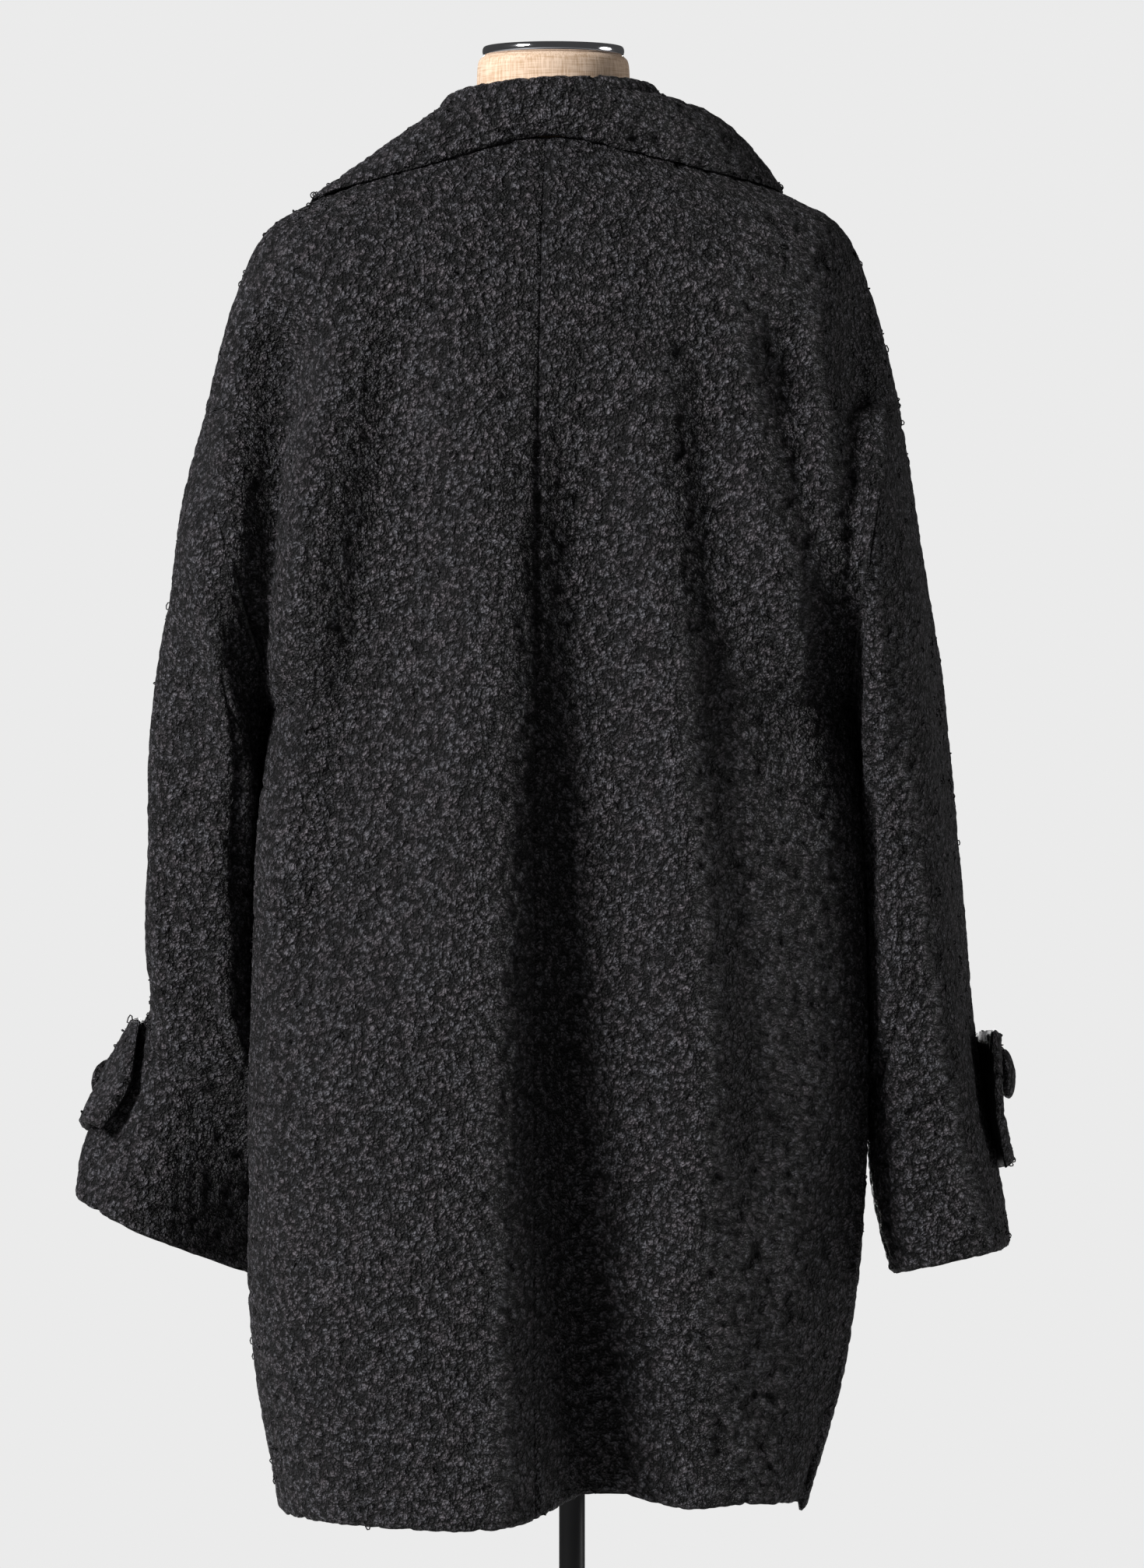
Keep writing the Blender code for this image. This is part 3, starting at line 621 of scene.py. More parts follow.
@dataclass(frozen=True)
class PowderCoat:
    """Black powder coat, sprayed and baked: satin, with a faint orange peel."""

    paint: str = "#1a1a1c"
    rubbed: str = "#2a2a2c"
    peel_mm: float = 1.6
    wear_mm: float = 45.0

    def material(self) -> bpy.types.Material:
        """Makes the finish.

        Returns:
            The paint's material.
        """
        material, tree = new_material("steel_powder_coated")
        place = add_node(tree, "TexCoord", {}, "Object")
        dimples = {"Vector": place, "Scale": 1000 / self.peel_mm, "Detail": 1.0}
        patches = {"Vector": place, "Scale": 1000 / self.wear_mm, "Detail": 5.0}
        peel = add_node(tree, "TexNoise", dimples, "Fac")
        wear = add_node(tree, "TexNoise", patches, "Fac")
        stops = ((0.42, self.paint), (0.75, self.rubbed))
        gloss = {"Value": wear, 1: 0.3, 2: 0.8, 3: 0.32, 4: 0.46}
        bump = {"Strength": 0.12, "Distance": 0.0002, "Height": peel}
        shader = {
            "Base Color": add_node(tree, "ValToRGB", {"Fac": wear}, stops=stops),
            "Roughness": add_node(tree, "MapRange", gloss), "IOR": 1.5,
            "Normal": add_node(tree, "Bump", bump),
        }
        add_node(tree, "OutputMaterial", {0: add_node(tree, "BsdfPrincipled", shader)})
        return material


@dataclass(frozen=True)
class StudioPaper:
    """Pale grey seamless paper, uncoated: an even matt floor."""

    tint: str = "#a8a8a8"
    shade: str = "#a2a2a2"
    fibre_mm: float = 6.0

    def material(self) -> bpy.types.Material:
        """Makes the finish.

        Returns:
            The floor's material.
        """
        material, tree = new_material("paper_uncoated")
        place = add_node(tree, "TexCoord", {}, "Object")
        pulp = {"Vector": place, "Scale": 1000 / self.fibre_mm, "Detail": 2.0}
        fibre = add_node(tree, "TexNoise", pulp, "Fac")
        stops = ((0.3, self.shade), (0.7, self.tint))
        colour = add_node(tree, "ValToRGB", {"Fac": fibre}, stops=stops)
        shader = {"Base Color": colour, "Roughness": 0.95}
        add_node(tree, "OutputMaterial", {0: add_node(tree, "BsdfPrincipled", shader)})
        return material


def add_piece(
    name: str,
    points: np.ndarray,
    faces: list[np.ndarray],
    material: bpy.types.Material,
    values: dict[str, np.ndarray] | None = None,
) -> bpy.types.Object:
    """Makes a mesh object, all faces out and shaded smooth.

    Args:
        name: the piece's name.
        points: points by three, in metres.
        faces: arrays of corner numbers, one array for each count of corners.
        material: the piece's finish.
        values: a number for each point, by attribute name.

    Returns:
        The new object.
    """
    mesh = bpy.data.meshes.new(name)
    corners = np.concatenate([part.ravel() for part in faces]).astype(np.int32)
    sizes = np.concatenate([np.full(len(part), part.shape[1]) for part in faces])
    starts = np.concatenate(([0], np.cumsum(sizes)[:-1])).astype(np.int32)
    mesh.vertices.add(len(points))
    mesh.vertices.foreach_set("co", points.astype(np.float32).ravel())
    mesh.loops.add(len(corners))
    mesh.loops.foreach_set("vertex_index", corners)
    mesh.polygons.add(len(starts))
    mesh.polygons.foreach_set("loop_start", starts)
    mesh.update(calc_edges=True)
    mesh.validate()
    shell = bmesh.new()
    shell.from_mesh(mesh)
    bmesh.ops.recalc_face_normals(shell, faces=shell.faces)
    shell.to_mesh(mesh)
    shell.free()
    for key, numbers in (values or {}).items():
        layer = mesh.attributes.new(key, "FLOAT", "POINT")
        layer.data.foreach_set("value", numbers.astype(np.float32))
    mesh.materials.append(material)
    mesh.shade_smooth()
    obj = bpy.data.objects.new(name, mesh)
    bpy.context.scene.collection.objects.link(obj)
    return obj


def settle(obj: bpy.types.Object, node: str | None = None) -> bpy.types.Object:
    """Makes a piece ride on the part and stand for a solid.

    Args:
        obj: the piece.
        node: the solid that it stands for, if any.

    Returns:
        The same piece.
    """
    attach(obj, BODY)
    if node:
        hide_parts(node)
    LOG.info("%s: %d points, %d faces", obj.name, len(obj.data.vertices), len(obj.data.polygons))
    return obj


def grid_quads(rows: int, cols: int, wrap: bool, first: int = 0) -> np.ndarray:
    """Gives the four-sided faces of a grid of points.

    Args:
        rows: rows of points.
        cols: columns of points.
        wrap: whether the last column joins the first one.
        first: the number of the grid's first point.

    Returns:
        Faces by four corner numbers.
    """
    row = np.arange(rows - 1)[:, None] * cols
    col = np.arange(cols if wrap else cols - 1)[None, :]
    here, there = first + row + col, first + row + (col + 1) % cols
    return np.stack((here, here + cols, there + cols, there), axis=-1).reshape(-1, 4)


def end_fans(rows: int, cols: int) -> np.ndarray:
    """Closes both ends of a wrapped grid, each on one point that follows the grid's own.

    Args:
        rows: rows of points.
        cols: columns of points.

    Returns:
        Faces by three corner numbers.
    """
    count, last = rows * cols, (rows - 1) * cols
    here = np.arange(cols)
    after = (here + 1) % cols
    first = np.stack((np.full_like(here, count), here, after), axis=1)
    return np.concatenate(
        (first, np.stack((np.full_like(here, count + 1), last + after, last + here), axis=1))
    )


@dataclass
class ClothShell:
    """A closed shell of curly cloth: a fine curled face over a plain, coarser inner side."""

    node: str
    skin: np.ndarray
    out: np.ndarray
    wall: float
    sewn: tuple[Edge, ...] = ()
    free: tuple[Edge, ...] = ()
    wrap: bool = False
    curls: CurlField = field(default_factory=CurlField)
    curl_high: float = 0.0036
    curl_sunk: float = 0.45  # share of a curl's height that lies below the solid's skin
    seam_calm: float = 0.005
    seam_keep: float = 0.55
    groove: float = 0.0004
    groove_wide: float = 0.004
    hem_round: float = 0.0032
    hem_thin: float = 0.0006
    hem_bump: float = 0.0022
    hem_level: float = 0.3  # height of the curls that leave the hem in its place
    sway: float = 0.0012
    sway_size: float = 0.055
    sway_seed: int = 5
    # share of the curl value kept at a sewn edge; lowering it paints shade along the seams
    seam_shade: float = 0.75
    coarse: int = 4  # points of the curled face for each one of the inner side
    inner_tone: float = 0.45
    line_at: float = 0.0  # how far from the low edge a pressed seam line runs, if any
    line_deep: float = 0.0010
    line_wide: float = 0.0016

    def nearest(self, edges: tuple[Edge, ...]) -> np.ndarray:
        """Gives each point's distance to the nearest of some edges."""
        runs = [edge_run(self.skin, edge) for edge in edges]
        return np.min(runs, axis=0) if runs else np.full(self.skin.shape[:2], 1.0)

    def push_edges(self, points: np.ndarray, by: np.ndarray) -> None:
        """Moves a grid's free edges out, in the cloth's own plane.

        Args:
            points: the grid, which is changed.
            by: how far, for each point.
        """
        ends = {
            Edge.TOP: (np.s_[0], np.s_[1]),
            Edge.LOW: (np.s_[-1], np.s_[-2]),
            Edge.START: (np.s_[:, 0], np.s_[:, 1]),
            Edge.END: (np.s_[:, -1], np.s_[:, -2]),
        }
        for edge in self.free:
            rim, next_in = ends[edge]
            points[rim] += unit(self.skin[rim] - self.skin[next_in]) * by[rim][..., None]

    def rim(self, outer: np.ndarray, inner: np.ndarray) -> np.ndarray:
        """Joins an edge of the fine face to the same edge of the coarse side.

        Args:
            outer: point numbers along the fine edge.
            inner: point numbers along the coarse edge.

        Returns:
            Faces by three corner numbers.
        """
        half = self.coarse // 2
        lead = outer[:-1].reshape(-1, self.coarse)
        follow = outer[1:].reshape(-1, self.coarse)
        faces = [
            np.stack((lead[:, i], follow[:, i], inner[:-1] if i < half else inner[1:]), axis=1)
            for i in range(self.coarse)
        ]
        faces.append(np.stack((lead[:, half], inner[1:], inner[:-1]), axis=1))
        return np.concatenate(faces)

    def build(self, material: bpy.types.Material) -> bpy.types.Object:
        """Builds the shell.

        Args:
            material: the cloth's finish.

        Returns:
            The new piece.
        """
        rows, cols = self.skin.shape[:2]
        step = self.coarse
        curl = self.curls.height(self.skin)
        seam, hem = self.nearest(self.sewn), self.nearest(self.free)
        calm = ease(seam / self.seam_calm) * (1 - self.seam_keep) + self.seam_keep
        sway = drift(self.skin.reshape(-1, 3), self.sway_size, self.sway_seed)[:, 0]
        sway = sway.reshape(rows, cols)
        lift = self.curl_high * calm * (curl - self.curl_sunk) + self.sway * sway * calm
        lift -= self.groove * (1.0 - ease(seam / self.groove_wide))
        if self.line_at:
            off = (edge_run(self.skin, Edge.LOW) - self.line_at) / self.line_wide
            lift -= self.line_deep * np.exp(-(off**2))
        thin = np.sqrt(1.0 - (1.0 - np.clip(hem / self.hem_round, 0.0, 1.0)) ** 2)
        sunk = (1.0 - thin) * (self.wall - self.hem_thin) / 2
        outer = self.skin + self.out * (lift * (0.5 + 0.5 * thin) - sunk)[..., None]
        inner = self.skin - self.out * (self.wall - sunk)[..., None]
        bump = self.hem_bump * (curl - self.hem_level)
        self.push_edges(outer, bump)
        self.push_edges(inner, bump)
        inner = inner[::step, ::step]
        in_rows, in_cols = inner.shape[:2]
        count = rows * cols
        numbers = np.arange(count).reshape(rows, cols)
        inside = count + np.arange(in_rows * in_cols).reshape(in_rows, in_cols)
        chains = [(numbers[0], inside[0]), (numbers[-1], inside[-1])]
        if self.wrap:
            chains = [(np.append(a, a[0]), np.append(b, b[0])) for a, b in chains]
        else:
            chains += [(numbers[:, 0], inside[:, 0]), (numbers[:, -1], inside[:, -1])]
        face = grid_quads(rows, cols, self.wrap)
        lining = grid_quads(in_rows, in_cols, self.wrap, count)
        rims = np.concatenate([self.rim(a, b) for a, b in chains])
        faces = [np.concatenate((face, lining)), rims]
        points = np.concatenate((outer.reshape(-1, 3), inner.reshape(-1, 3)))
        # Near sewn edges the curl value is lowered, which paints shade along the seams.
        tone = self.seam_shade + (1.0 - self.seam_shade) * calm
        plain = np.full(inside.size, self.inner_tone)
        # The curl value picks the wool's colour: painted shade in the pits, painted highlight on
        # the tops.
        values = {
            "curl": np.concatenate(((curl * tone).ravel(), plain)),
            "nap": np.concatenate((np.ones(count), np.zeros(inside.size))),
        }
        return add_piece(self.node + "_cloth", points, faces, material, values)


@dataclass
class LooseYarn:
    """Loops of yarn that stand out of the cloth, each a small closed tube."""

    count: int
    seed: int
    yarn: float = 0.00050  # radius of the yarn
    span: tuple[float, float] = (0.0018, 0.0040)  # from foot to foot
    rise: tuple[float, float] = (0.0010, 0.0026)
    bury: float = 0.0012
    twist: float = 0.9
    tones: tuple[float, float] = (0.45, 1.0)
    steps: int = 6
    sides: int = 3

    def build(
        self, name: str, skin: np.ndarray, out: np.ndarray, material: bpy.types.Material
    ) -> bpy.types.Object:
        """Scatters the loops over a skin.

        Args:
            name: the piece's name.
            skin: the cloth's grid of points.
            out: its normals.
            material: the yarn's finish.

        Returns:
            All the loops as one piece.
        """
        rng = np.random.default_rng(self.seed)
        area = np.linalg.norm(
            np.cross(np.gradient(skin, axis=0), np.gradient(skin, axis=1)), axis=-1
        )
        chosen = rng.choice(area.size, self.count, replace=False, p=(area / area.sum()).ravel())
        foot, up = skin.reshape(-1, 3)[chosen], out.reshape(-1, 3)[chosen]
        aim = square_to(rng.normal(size=(self.count, 3)), up)
        across = np.cross(up, aim)
        span = rng.uniform(*self.span, self.count)[:, None, None]
        rise = rng.uniform(*self.rise, self.count)[:, None, None]
        twist = rng.uniform(-self.twist, self.twist, self.count)[:, None, None]
        turn = np.linspace(0.0, np.pi, self.steps + 1)[None, :, None]
        line = foot[:, None] - np.cos(turn) * span / 2 * aim[:, None]
        line = line + (np.sin(turn) * (rise + self.bury) - self.bury) * up[:, None]
        line = line + np.sin(2 * turn) * twist * span * across[:, None]
        along = unit(np.gradient(line, axis=1))
        first = square_to(np.broadcast_to(across[:, None], along.shape), along)
        second = np.cross(along, first)
        spin = np.linspace(0.0, 2 * np.pi, self.sides, endpoint=False)[:, None]
        tube = line[:, :, None] + self.yarn * (
            first[:, :, None] * np.cos(spin) + second[:, :, None] * np.sin(spin)
        )
        block = (self.steps + 1) * self.sides
        quads = grid_quads(self.steps + 1, self.sides, True)
        caps = np.array([np.arange(self.sides)[::-1], block - self.sides + np.arange(self.sides)])
        starts = (np.arange(self.count) * block)[:, None, None]
        faces = [(quads + starts).reshape(-1, 4), (caps + starts).reshape(-1, self.sides)]
        tone = rng.uniform(*self.tones, self.count).repeat(block)
        values = {"curl": tone, "nap": np.ones(self.count * block)}
        return add_piece(name, tube.reshape(-1, 3), faces, material, values)


def hang_cloth(
    shell: ClothShell, yarn: LooseYarn, flat: tuple[float, float], area: float,
    rests_on: list[str], wool: bpy.types.Material,
) -> None:
    """Builds a cloth piece and its loose loops.

    Args:
        shell: the cloth.
        yarn: the loose loops.
        flat: width and length of the cut, in metres; not used.
        area: flat area of the cut, in square metres; not used.
        rests_on: what it hangs from or lies on; not used.
        wool: the finish.
    """
    obj = settle(shell.build(wool), shell.node)
    loops = yarn.build(shell.node + "_loops", shell.skin, shell.out, wool)
    settle(loops)


@dataclass
class Sleeves:
    """The two sleeves, set in at the dropped armholes."""

    cloth: float = 0.003
    cuff: float = 8.0
    round_from: float = 2.5
    hole_square: float = 0.72
    rows: int = 232
    columns: int = 180
    samples: int = 1440
    even_ring: float = 3.0  # the ring that sets the columns' spacing
    crease_fade: float = 0.35
    ridge: float = 0.45  # height of the ridge beside a crease, per depth
    ridge_off: float = 1.8
    loops: int = 420
    loop_seed: int = 40
    flat: tuple[float, float] = (0.46, 0.56)
    area: float = 0.181
    square: dict[Side, tuple[float, float]] = field(
        default_factory=lambda: {Side.LEFT: (2.2, 2.2), Side.RIGHT: (2.2, 0.0)}
    )
    rings: dict[Side, tuple[SleeveRing, ...]] = field(
        default_factory=lambda: {
            Side.LEFT: table(
                SleeveRing,
                (0, 0.2210, 0.000, 1.270, 0.1780, 0.000, 1.075, 0.106, 0.062),
                (1, 0.2315, -0.010, 1.230, 0.1805, -0.006, 1.058, 0.108, 0.066),
                (2, 0.2405, -0.036, 1.150, 0.1820, -0.032, 1.022, 0.102, 0.071),
                (3, 0.2485, -0.050, 1.080, 0.1840, -0.042, 0.985, 0.094, 0.073),
                (4, 0.2550, -0.056, 0.990, 0.1870, -0.048, 0.930, 0.086, 0.071),
                (5, 0.2630, -0.050, 0.895, 0.1940, -0.052, 0.855, 0.072, 0.062),
                (6, 0.2760, -0.028, 0.838, 0.2040, -0.066, 0.802, 0.052, 0.046, 0.003),
                (7, 0.2890, -0.004, 0.790, 0.2065, -0.080, 0.752, 0.043, 0.039, 0.008),
                (8, 0.2930, 0.010, 0.754, 0.1980, -0.092, 0.711, 0.036, 0.034, 0.012),
            ),
            Side.RIGHT: table(
                SleeveRing,
                (0, 0.2210, 0.000, 1.270, 0.1940, 0.000, 1.075, 0.106, 0.062),
                (1, 0.2275, -0.009, 1.226, 0.1955, -0.009, 1.058, 0.110, 0.066),
                (2, 0.2375, -0.026, 1.150, 0.1988, -0.026, 1.022, 0.114, 0.071),
                (3, 0.2465, -0.036, 1.080, 0.2002, -0.038, 0.985, 0.113, 0.073),
                (4, 0.2550, -0.038, 0.990, 0.2006, -0.041, 0.930, 0.105, 0.071),
                (5, 0.2645, -0.036, 0.886, 0.2008, -0.039, 0.855, 0.095, 0.064),
                (6, 0.2735, -0.026, 0.820, 0.2020, -0.029, 0.806, 0.078, 0.058),
                (7, 0.2830, -0.014, 0.775, 0.2060, -0.018, 0.764, 0.063, 0.053),
                (8, 0.2905, -0.004, 0.733, 0.2180, -0.007, 0.716, 0.053, 0.049),
            ),
        }
    )
    creases: tuple[SleeveCrease, ...] = table(
        partial(SleeveCrease, Side.LEFT),
        (0.8, 118, 4.4, 138, 0.0045, 0.014),
        (3.6, 60, 5.6, 122, 0.0035, 0.012),
        (4.8, 20, 6.4, 95, 0.0030, 0.011),
        (1.0, -112, 4.6, -140, 0.0050, 0.015),
        (4.2, -70, 5.8, -128, 0.0040, 0.013),
    ) + table(
        partial(SleeveCrease, Side.RIGHT),
        (0.8, 112, 4.2, 130, 0.0050, 0.014),
        (4.6, 84, 5.6, 148, 0.0045, 0.010),
        (5.6, 66, 6.3, 132, 0.0030, 0.009),
        (1.0, -116, 4.8, -138, 0.0050, 0.015),
        (4.6, -64, 5.8, -124, 0.0038, 0.012),
    )

    @staticmethod
    def blunt(wave: np.ndarray, power: np.ndarray | float) -> np.ndarray:
        """Squares a sine or cosine, more so as power falls below one."""
        return np.sign(wave) * np.abs(wave) ** power

    @staticmethod
    def pointed(turn: np.ndarray) -> np.ndarray:
        """Gives how far along its arm a ring with pointed ends is at each angle."""
        return 1.0 - 2.0 * np.abs((turn + np.pi) % (2 * np.pi) - np.pi) / np.pi

    def skin(self, side: Side, places: np.ndarray, angles: np.ndarray) -> np.ndarray:
        """Lofts a sleeve through its rings.

        Args:
            side: which sleeve.
            places: ring places, one for each row.
            angles: angles from the outer edge, rows by columns.

        Returns:
            The sleeve's outer points.
        """
        rings = self.rings[side]
        outer = np.stack([column(rings, "out_" + axis, places) for axis in "xyz"], axis=-1)
        inner = np.stack([column(rings, "in_" + axis, places) for axis in "xyz"], axis=-1)
        middle, arm = (outer + inner) / 2, (outer - inner) / 2
        flat = unit(np.stack((-arm[:, 1], arm[:, 0], 0 * arm[:, 0]), axis=-1))
        filled = ease(places / self.round_from)[:, None]
        square = np.where(np.cos(angles) > 0, *self.square[side])
        power = 2.0 / (2.0 + square * filled)
        swing = self.blunt(np.cos(angles), power) * filled + self.pointed(angles) * (1.0 - filled)
        fuller = self.hole_square + (power - self.hole_square) * filled
        sway = self.blunt(np.sin(angles), fuller)[..., None]
        swing = swing[..., None]
        back = column(rings, "back_depth", places)[:, None, None]
        depth = np.where(sway > 0, back, column(rings, "front_depth", places)[:, None, None])
        skin = middle[:, None] + arm[:, None] * swing + flat[:, None] * depth * sway
        skin[..., 2] -= column(rings, "drop", places)[:, None] * sway[..., 0]
        skin[..., 0] = side.value * skin[..., 0] + COAT_X
        return skin

    def creased(
        self, side: Side, skin: np.ndarray, places: np.ndarray, angles: np.ndarray
    ) -> np.ndarray:
        """Presses the side's creases into its skin.

        Args:
            side: which sleeve.
            skin: its outer points.
            places: ring places of the rows.
            angles: angles of the columns.

        Returns:
            The creased points.
        """
        out = side.value * skin_normals(skin, wrap=True)
        middle = skin.mean(axis=1, keepdims=True)
        radius = np.linalg.norm(skin - middle, axis=-1)
        deep = np.zeros(skin.shape[:2])
        for crease in self.creases:
            if crease.side != side:
                continue
            share = (places - crease.place_top) / (crease.place_low - crease.place_top)
            path = np.radians(crease.angle_top + (crease.angle_low - crease.angle_top) * share)
            fade = ease(share / self.crease_fade) * ease((1.0 - share) / self.crease_fade)
            apart = (angles - path[:, None] + np.pi) % (2 * np.pi) - np.pi
            off = apart * radius / crease.wide
            ridge = self.ridge * np.exp(-((off - self.ridge_off) ** 2))
            deep += crease.deep * fade[:, None] * (np.exp(-(off**2)) - ridge)
        return skin - out * deep[..., None]

    def build(self, wool: bpy.types.Material) -> None:
        """Builds both sleeves and their loose loops.

        Args:
            wool: their finish.
        """
        places = np.linspace(0.0, self.cuff, self.rows + 1)
        fine = np.linspace(0.0, 2 * np.pi, self.samples + 1)
        for turn, side in enumerate((Side.LEFT, Side.RIGHT)):
            ring = self.skin(side, np.array([self.even_ring]), fine[None])[0]
            run = np.append(0.0, np.cumsum(np.linalg.norm(np.diff(ring, axis=0), axis=1)))
            even = np.linspace(0.0, run[-1], self.columns, endpoint=False)
            angles = np.tile(np.interp(even, run, fine), (len(places), 1))
            hand = side.name.lower()
            skin = self.creased(side, self.skin(side, places, angles), places, angles)
            out = side.value * skin_normals(skin, wrap=True)
            shell = ClothShell(
                "sleeve_" + hand, skin, out, self.cloth, (Edge.TOP,), (Edge.LOW,), wrap=True
            )
            yarn = LooseYarn(self.loops, self.loop_seed + turn)
            under = [f"back_{hand}_cloth", f"front_{hand}_cloth"]
            hang_cloth(shell, yarn, self.flat, self.area, under, wool)


@dataclass
class CoatBody:
    """The coat's two backs and two fronts, cut from rings that run from neck to hem."""

    cloth: float = 0.003
    sleeve_head: float = 5.0
    underarm: float = 7.0
    hem: float = 11.0
    yoke_rows: int = 108
    armhole_rows: int = 84
    skirt_rows: int = 264
    back_columns: int = 140
    front_columns: int = 124
    samples: int = 360
    loops: int = 640
    loop_seed: int = 20
    edge_calm: float = 0.14
    hole_local: float = 4.0
    groove: float = 0.0016
    fold_fade: float = 0.2
    fold_room: float = 0.8
    valley_raise: float = 0.21
    raise_spread: float = 1.25
    raise_ahead: float = 0.004
    raise_from: float = 9.0
    lap: float = 0.040
    lap_columns: int = 20
    lap_lift: float = 0.0055
    lap_hold: float = 0.015
    lap_fade: float = 0.100
    lap_fall: float = 0.100
    lap_level: float = 8.0
    sleeves: Sleeves = field(default_factory=Sleeves)
    row_bend: dict[Face, float] = field(
        default_factory=lambda: {Face.BACK: 1.5, Face.FRONT: 1.2}
    )
    flats: dict[str, tuple[tuple[float, float], float]] = field(
        default_factory=lambda: {
            "back_left": ((0.32, 0.93), 0.246),
            "back_right": ((0.33, 0.93), 0.239),
            "front_left": ((0.31, 0.91), 0.235),
            "front_right": ((0.35, 0.91), 0.261),
        }
    )
    sections: tuple[Section, ...] = table(
        Section,
        (0.0, 0.062, 0.062, 0.000, 1.443, 1.438, 0.064, 2.0, 1.130, 0.119, 2.5),
        (1.0, 0.110, 0.110, 0.000, 1.419, 1.410, 0.084, 2.1, 1.106, 0.122, 2.5),
        (2.0, 0.155, 0.155, 0.000, 1.399, 1.378, 0.100, 2.2, 1.080, 0.125, 2.5),
        (3.0, 0.186, 0.186, 0.000, 1.378, 1.340, 0.112, 2.3, 1.054, 0.128, 2.5),
        (4.0, 0.206, 0.206, 0.000, 1.330, 1.296, 0.121, 2.4, 1.028, 0.131, 2.5),
        (5.0, 0.221, 0.221, 0.000, 1.270, 1.245, 0.128, 2.4, 1.002, 0.133, 2.5),
        (7.0, 0.178, 0.194, 0.000, 1.075, 1.085, 0.147, 2.5, 0.940, 0.138, 2.5),
        (7.4, 0.182, 0.1965, 0.010, 1.040, 1.040, 0.151, 2.5, 0.912, 0.139, 2.5),
        (8.0, 0.187, 0.1995, 0.022, 0.975, 0.968, 0.158, 2.5, 0.870, 0.141, 2.5),
        (9.0, 0.190, 0.2010, 0.030, 0.800, 0.800, 0.167, 2.5, 0.765, 0.145, 2.5),
        (10.0, 0.188, 0.188, 0.028, 0.670, 0.672, 0.166, 2.5, 0.660, 0.145, 2.5),
        (11.0, 0.171, 0.161, 0.022, 0.566, 0.561, 0.156, 2.5, 0.562, 0.138, 2.5),
    )
    folds: tuple[Fold, ...] = table(
        partial(Fold, Face.BACK),
        (0.168, 1.350, 0.186, 1.070, -0.010, 0.044, 0.036, 0.025, 0.018, 0.0, 0.45, 1.0),
        (0.086, 1.367, 0.152, 0.850, -0.008, 0.025, 0.036, 0.022, 0.036, 0.0, 2.1, 1.5),
        (-0.030, 1.381, -0.050, 0.350, 0.0120, 0.000, 0.108, 0.032, 0.035, 0.06, 2.0, 0.74),
        (-0.088, 1.380, -0.158, 0.480, -0.0085, 0.014, 0.056, 0.015, 0.036, 0.0, 2.8, 0.93),
        (-0.139, 1.355, -0.210, 0.980, 0.000, 0.016, 0.016, 0.016, 0.016, 0.0, 1.0, 0.6),
        (-0.117, 0.845, -0.145, 0.380, 0.015, 0.000, 0.038, 0.014, 0.032, 0.0, 1.2, 0.7),
        (-0.196, 1.380, -0.198, 1.050, 0.000, 0.022, 0.016, 0.014, 0.014, 0.0, 0.9, 1.0),
    ) + table(
        partial(Fold, Face.FRONT),
        (0.172, 1.350, 0.156, 1.040, 0.000, 0.008, 0.014, 0.018, 0.022),
        (0.104, 1.120, 0.118, 0.470, 0.008, 0.004, 0.022, 0.022, 0.030),
        (-0.098, 1.060, -0.126, 0.470, -0.006, 0.004, 0.026, 0.020, 0.028),
        (-0.174, 1.360, -0.160, 1.040, 0.000, 0.009, 0.015, 0.018, 0.022),
    )
    creases: tuple[Fold, ...] = table(
        partial(Fold, Face.FRONT),
        (0.060, 1.050, 0.078, 0.480, 0.0, -0.001, -0.005, 0.018, 0.026),
        (0.150, 0.960, 0.146, 0.500, 0.0, 0.002, 0.006, 0.014, 0.020),
        (-0.052, 1.020, -0.074, 0.490, 0.0, -0.001, -0.006, 0.016, 0.024),
        (-0.148, 0.980, -0.152, 0.500, 0.0, 0.002, 0.006, 0.014, 0.020),
    )

    def places(self) -> np.ndarray:
        """Places the rows, with one at each end of the armhole.

        Returns:
            A ring place for each row.
        """
        return np.concatenate(
            (
                np.linspace(0.0, self.sleeve_head, self.yoke_rows, endpoint=False),
                np.linspace(self.sleeve_head, self.underarm, self.armhole_rows, endpoint=False),
                np.linspace(self.underarm, self.hem, self.skirt_rows + 1),
            )
        )

    def edge(self, face: Face, hand: Side, places: np.ndarray) -> list[np.ndarray]:
        """Finds the edge of a half: shoulder seam, armhole, side seam.

        Args:
            face: back or front.
            hand: which half.
            places: ring places.

        Returns:
            x, y and z at each place, as columns, and how much further out an armhole is filled.
        """
        shoulder = [row for row in self.sections if row.place <= self.sleeve_head]
        side = [row for row in self.sections if row.place >= self.underarm]
        head = self.sleeves.rings[hand][0]
        turn = np.pi * (places - self.sleeve_head) / (self.underarm - self.sleeve_head)
        swing = Sleeves.pointed(turn)
        above, below = places <= self.sleeve_head, places >= self.underarm
        hole_x = (head.out_x + head.in_x) / 2 + (head.out_x - head.in_x) / 2 * swing
        hole_z = (head.out_z + head.in_z) / 2 + (head.out_z - head.in_z) / 2 * swing
        depth = head.back_depth if face == Face.BACK else head.front_depth
        hole_y = face.value * depth * np.sin(turn)
        full = face.value * depth * Sleeves.blunt(np.sin(turn), self.sleeves.hole_square) - hole_y
        full = np.where(above | below, 0.0, full)
        wide = hand.name.lower() + "_x"
        x = np.where(below, column(side, wide, places), hole_x)
        z = np.where(below, column(side, "edge_z", places), hole_z)
        x = np.where(above, column(shoulder, wide, places), x)
        z = np.where(above, column(shoulder, "edge_z", places), z)
        y = np.where(below, column(side, "edge_y", places), np.where(above, 0.0, hole_y))
        return [values[:, None] for values in (x, y, z, full)]

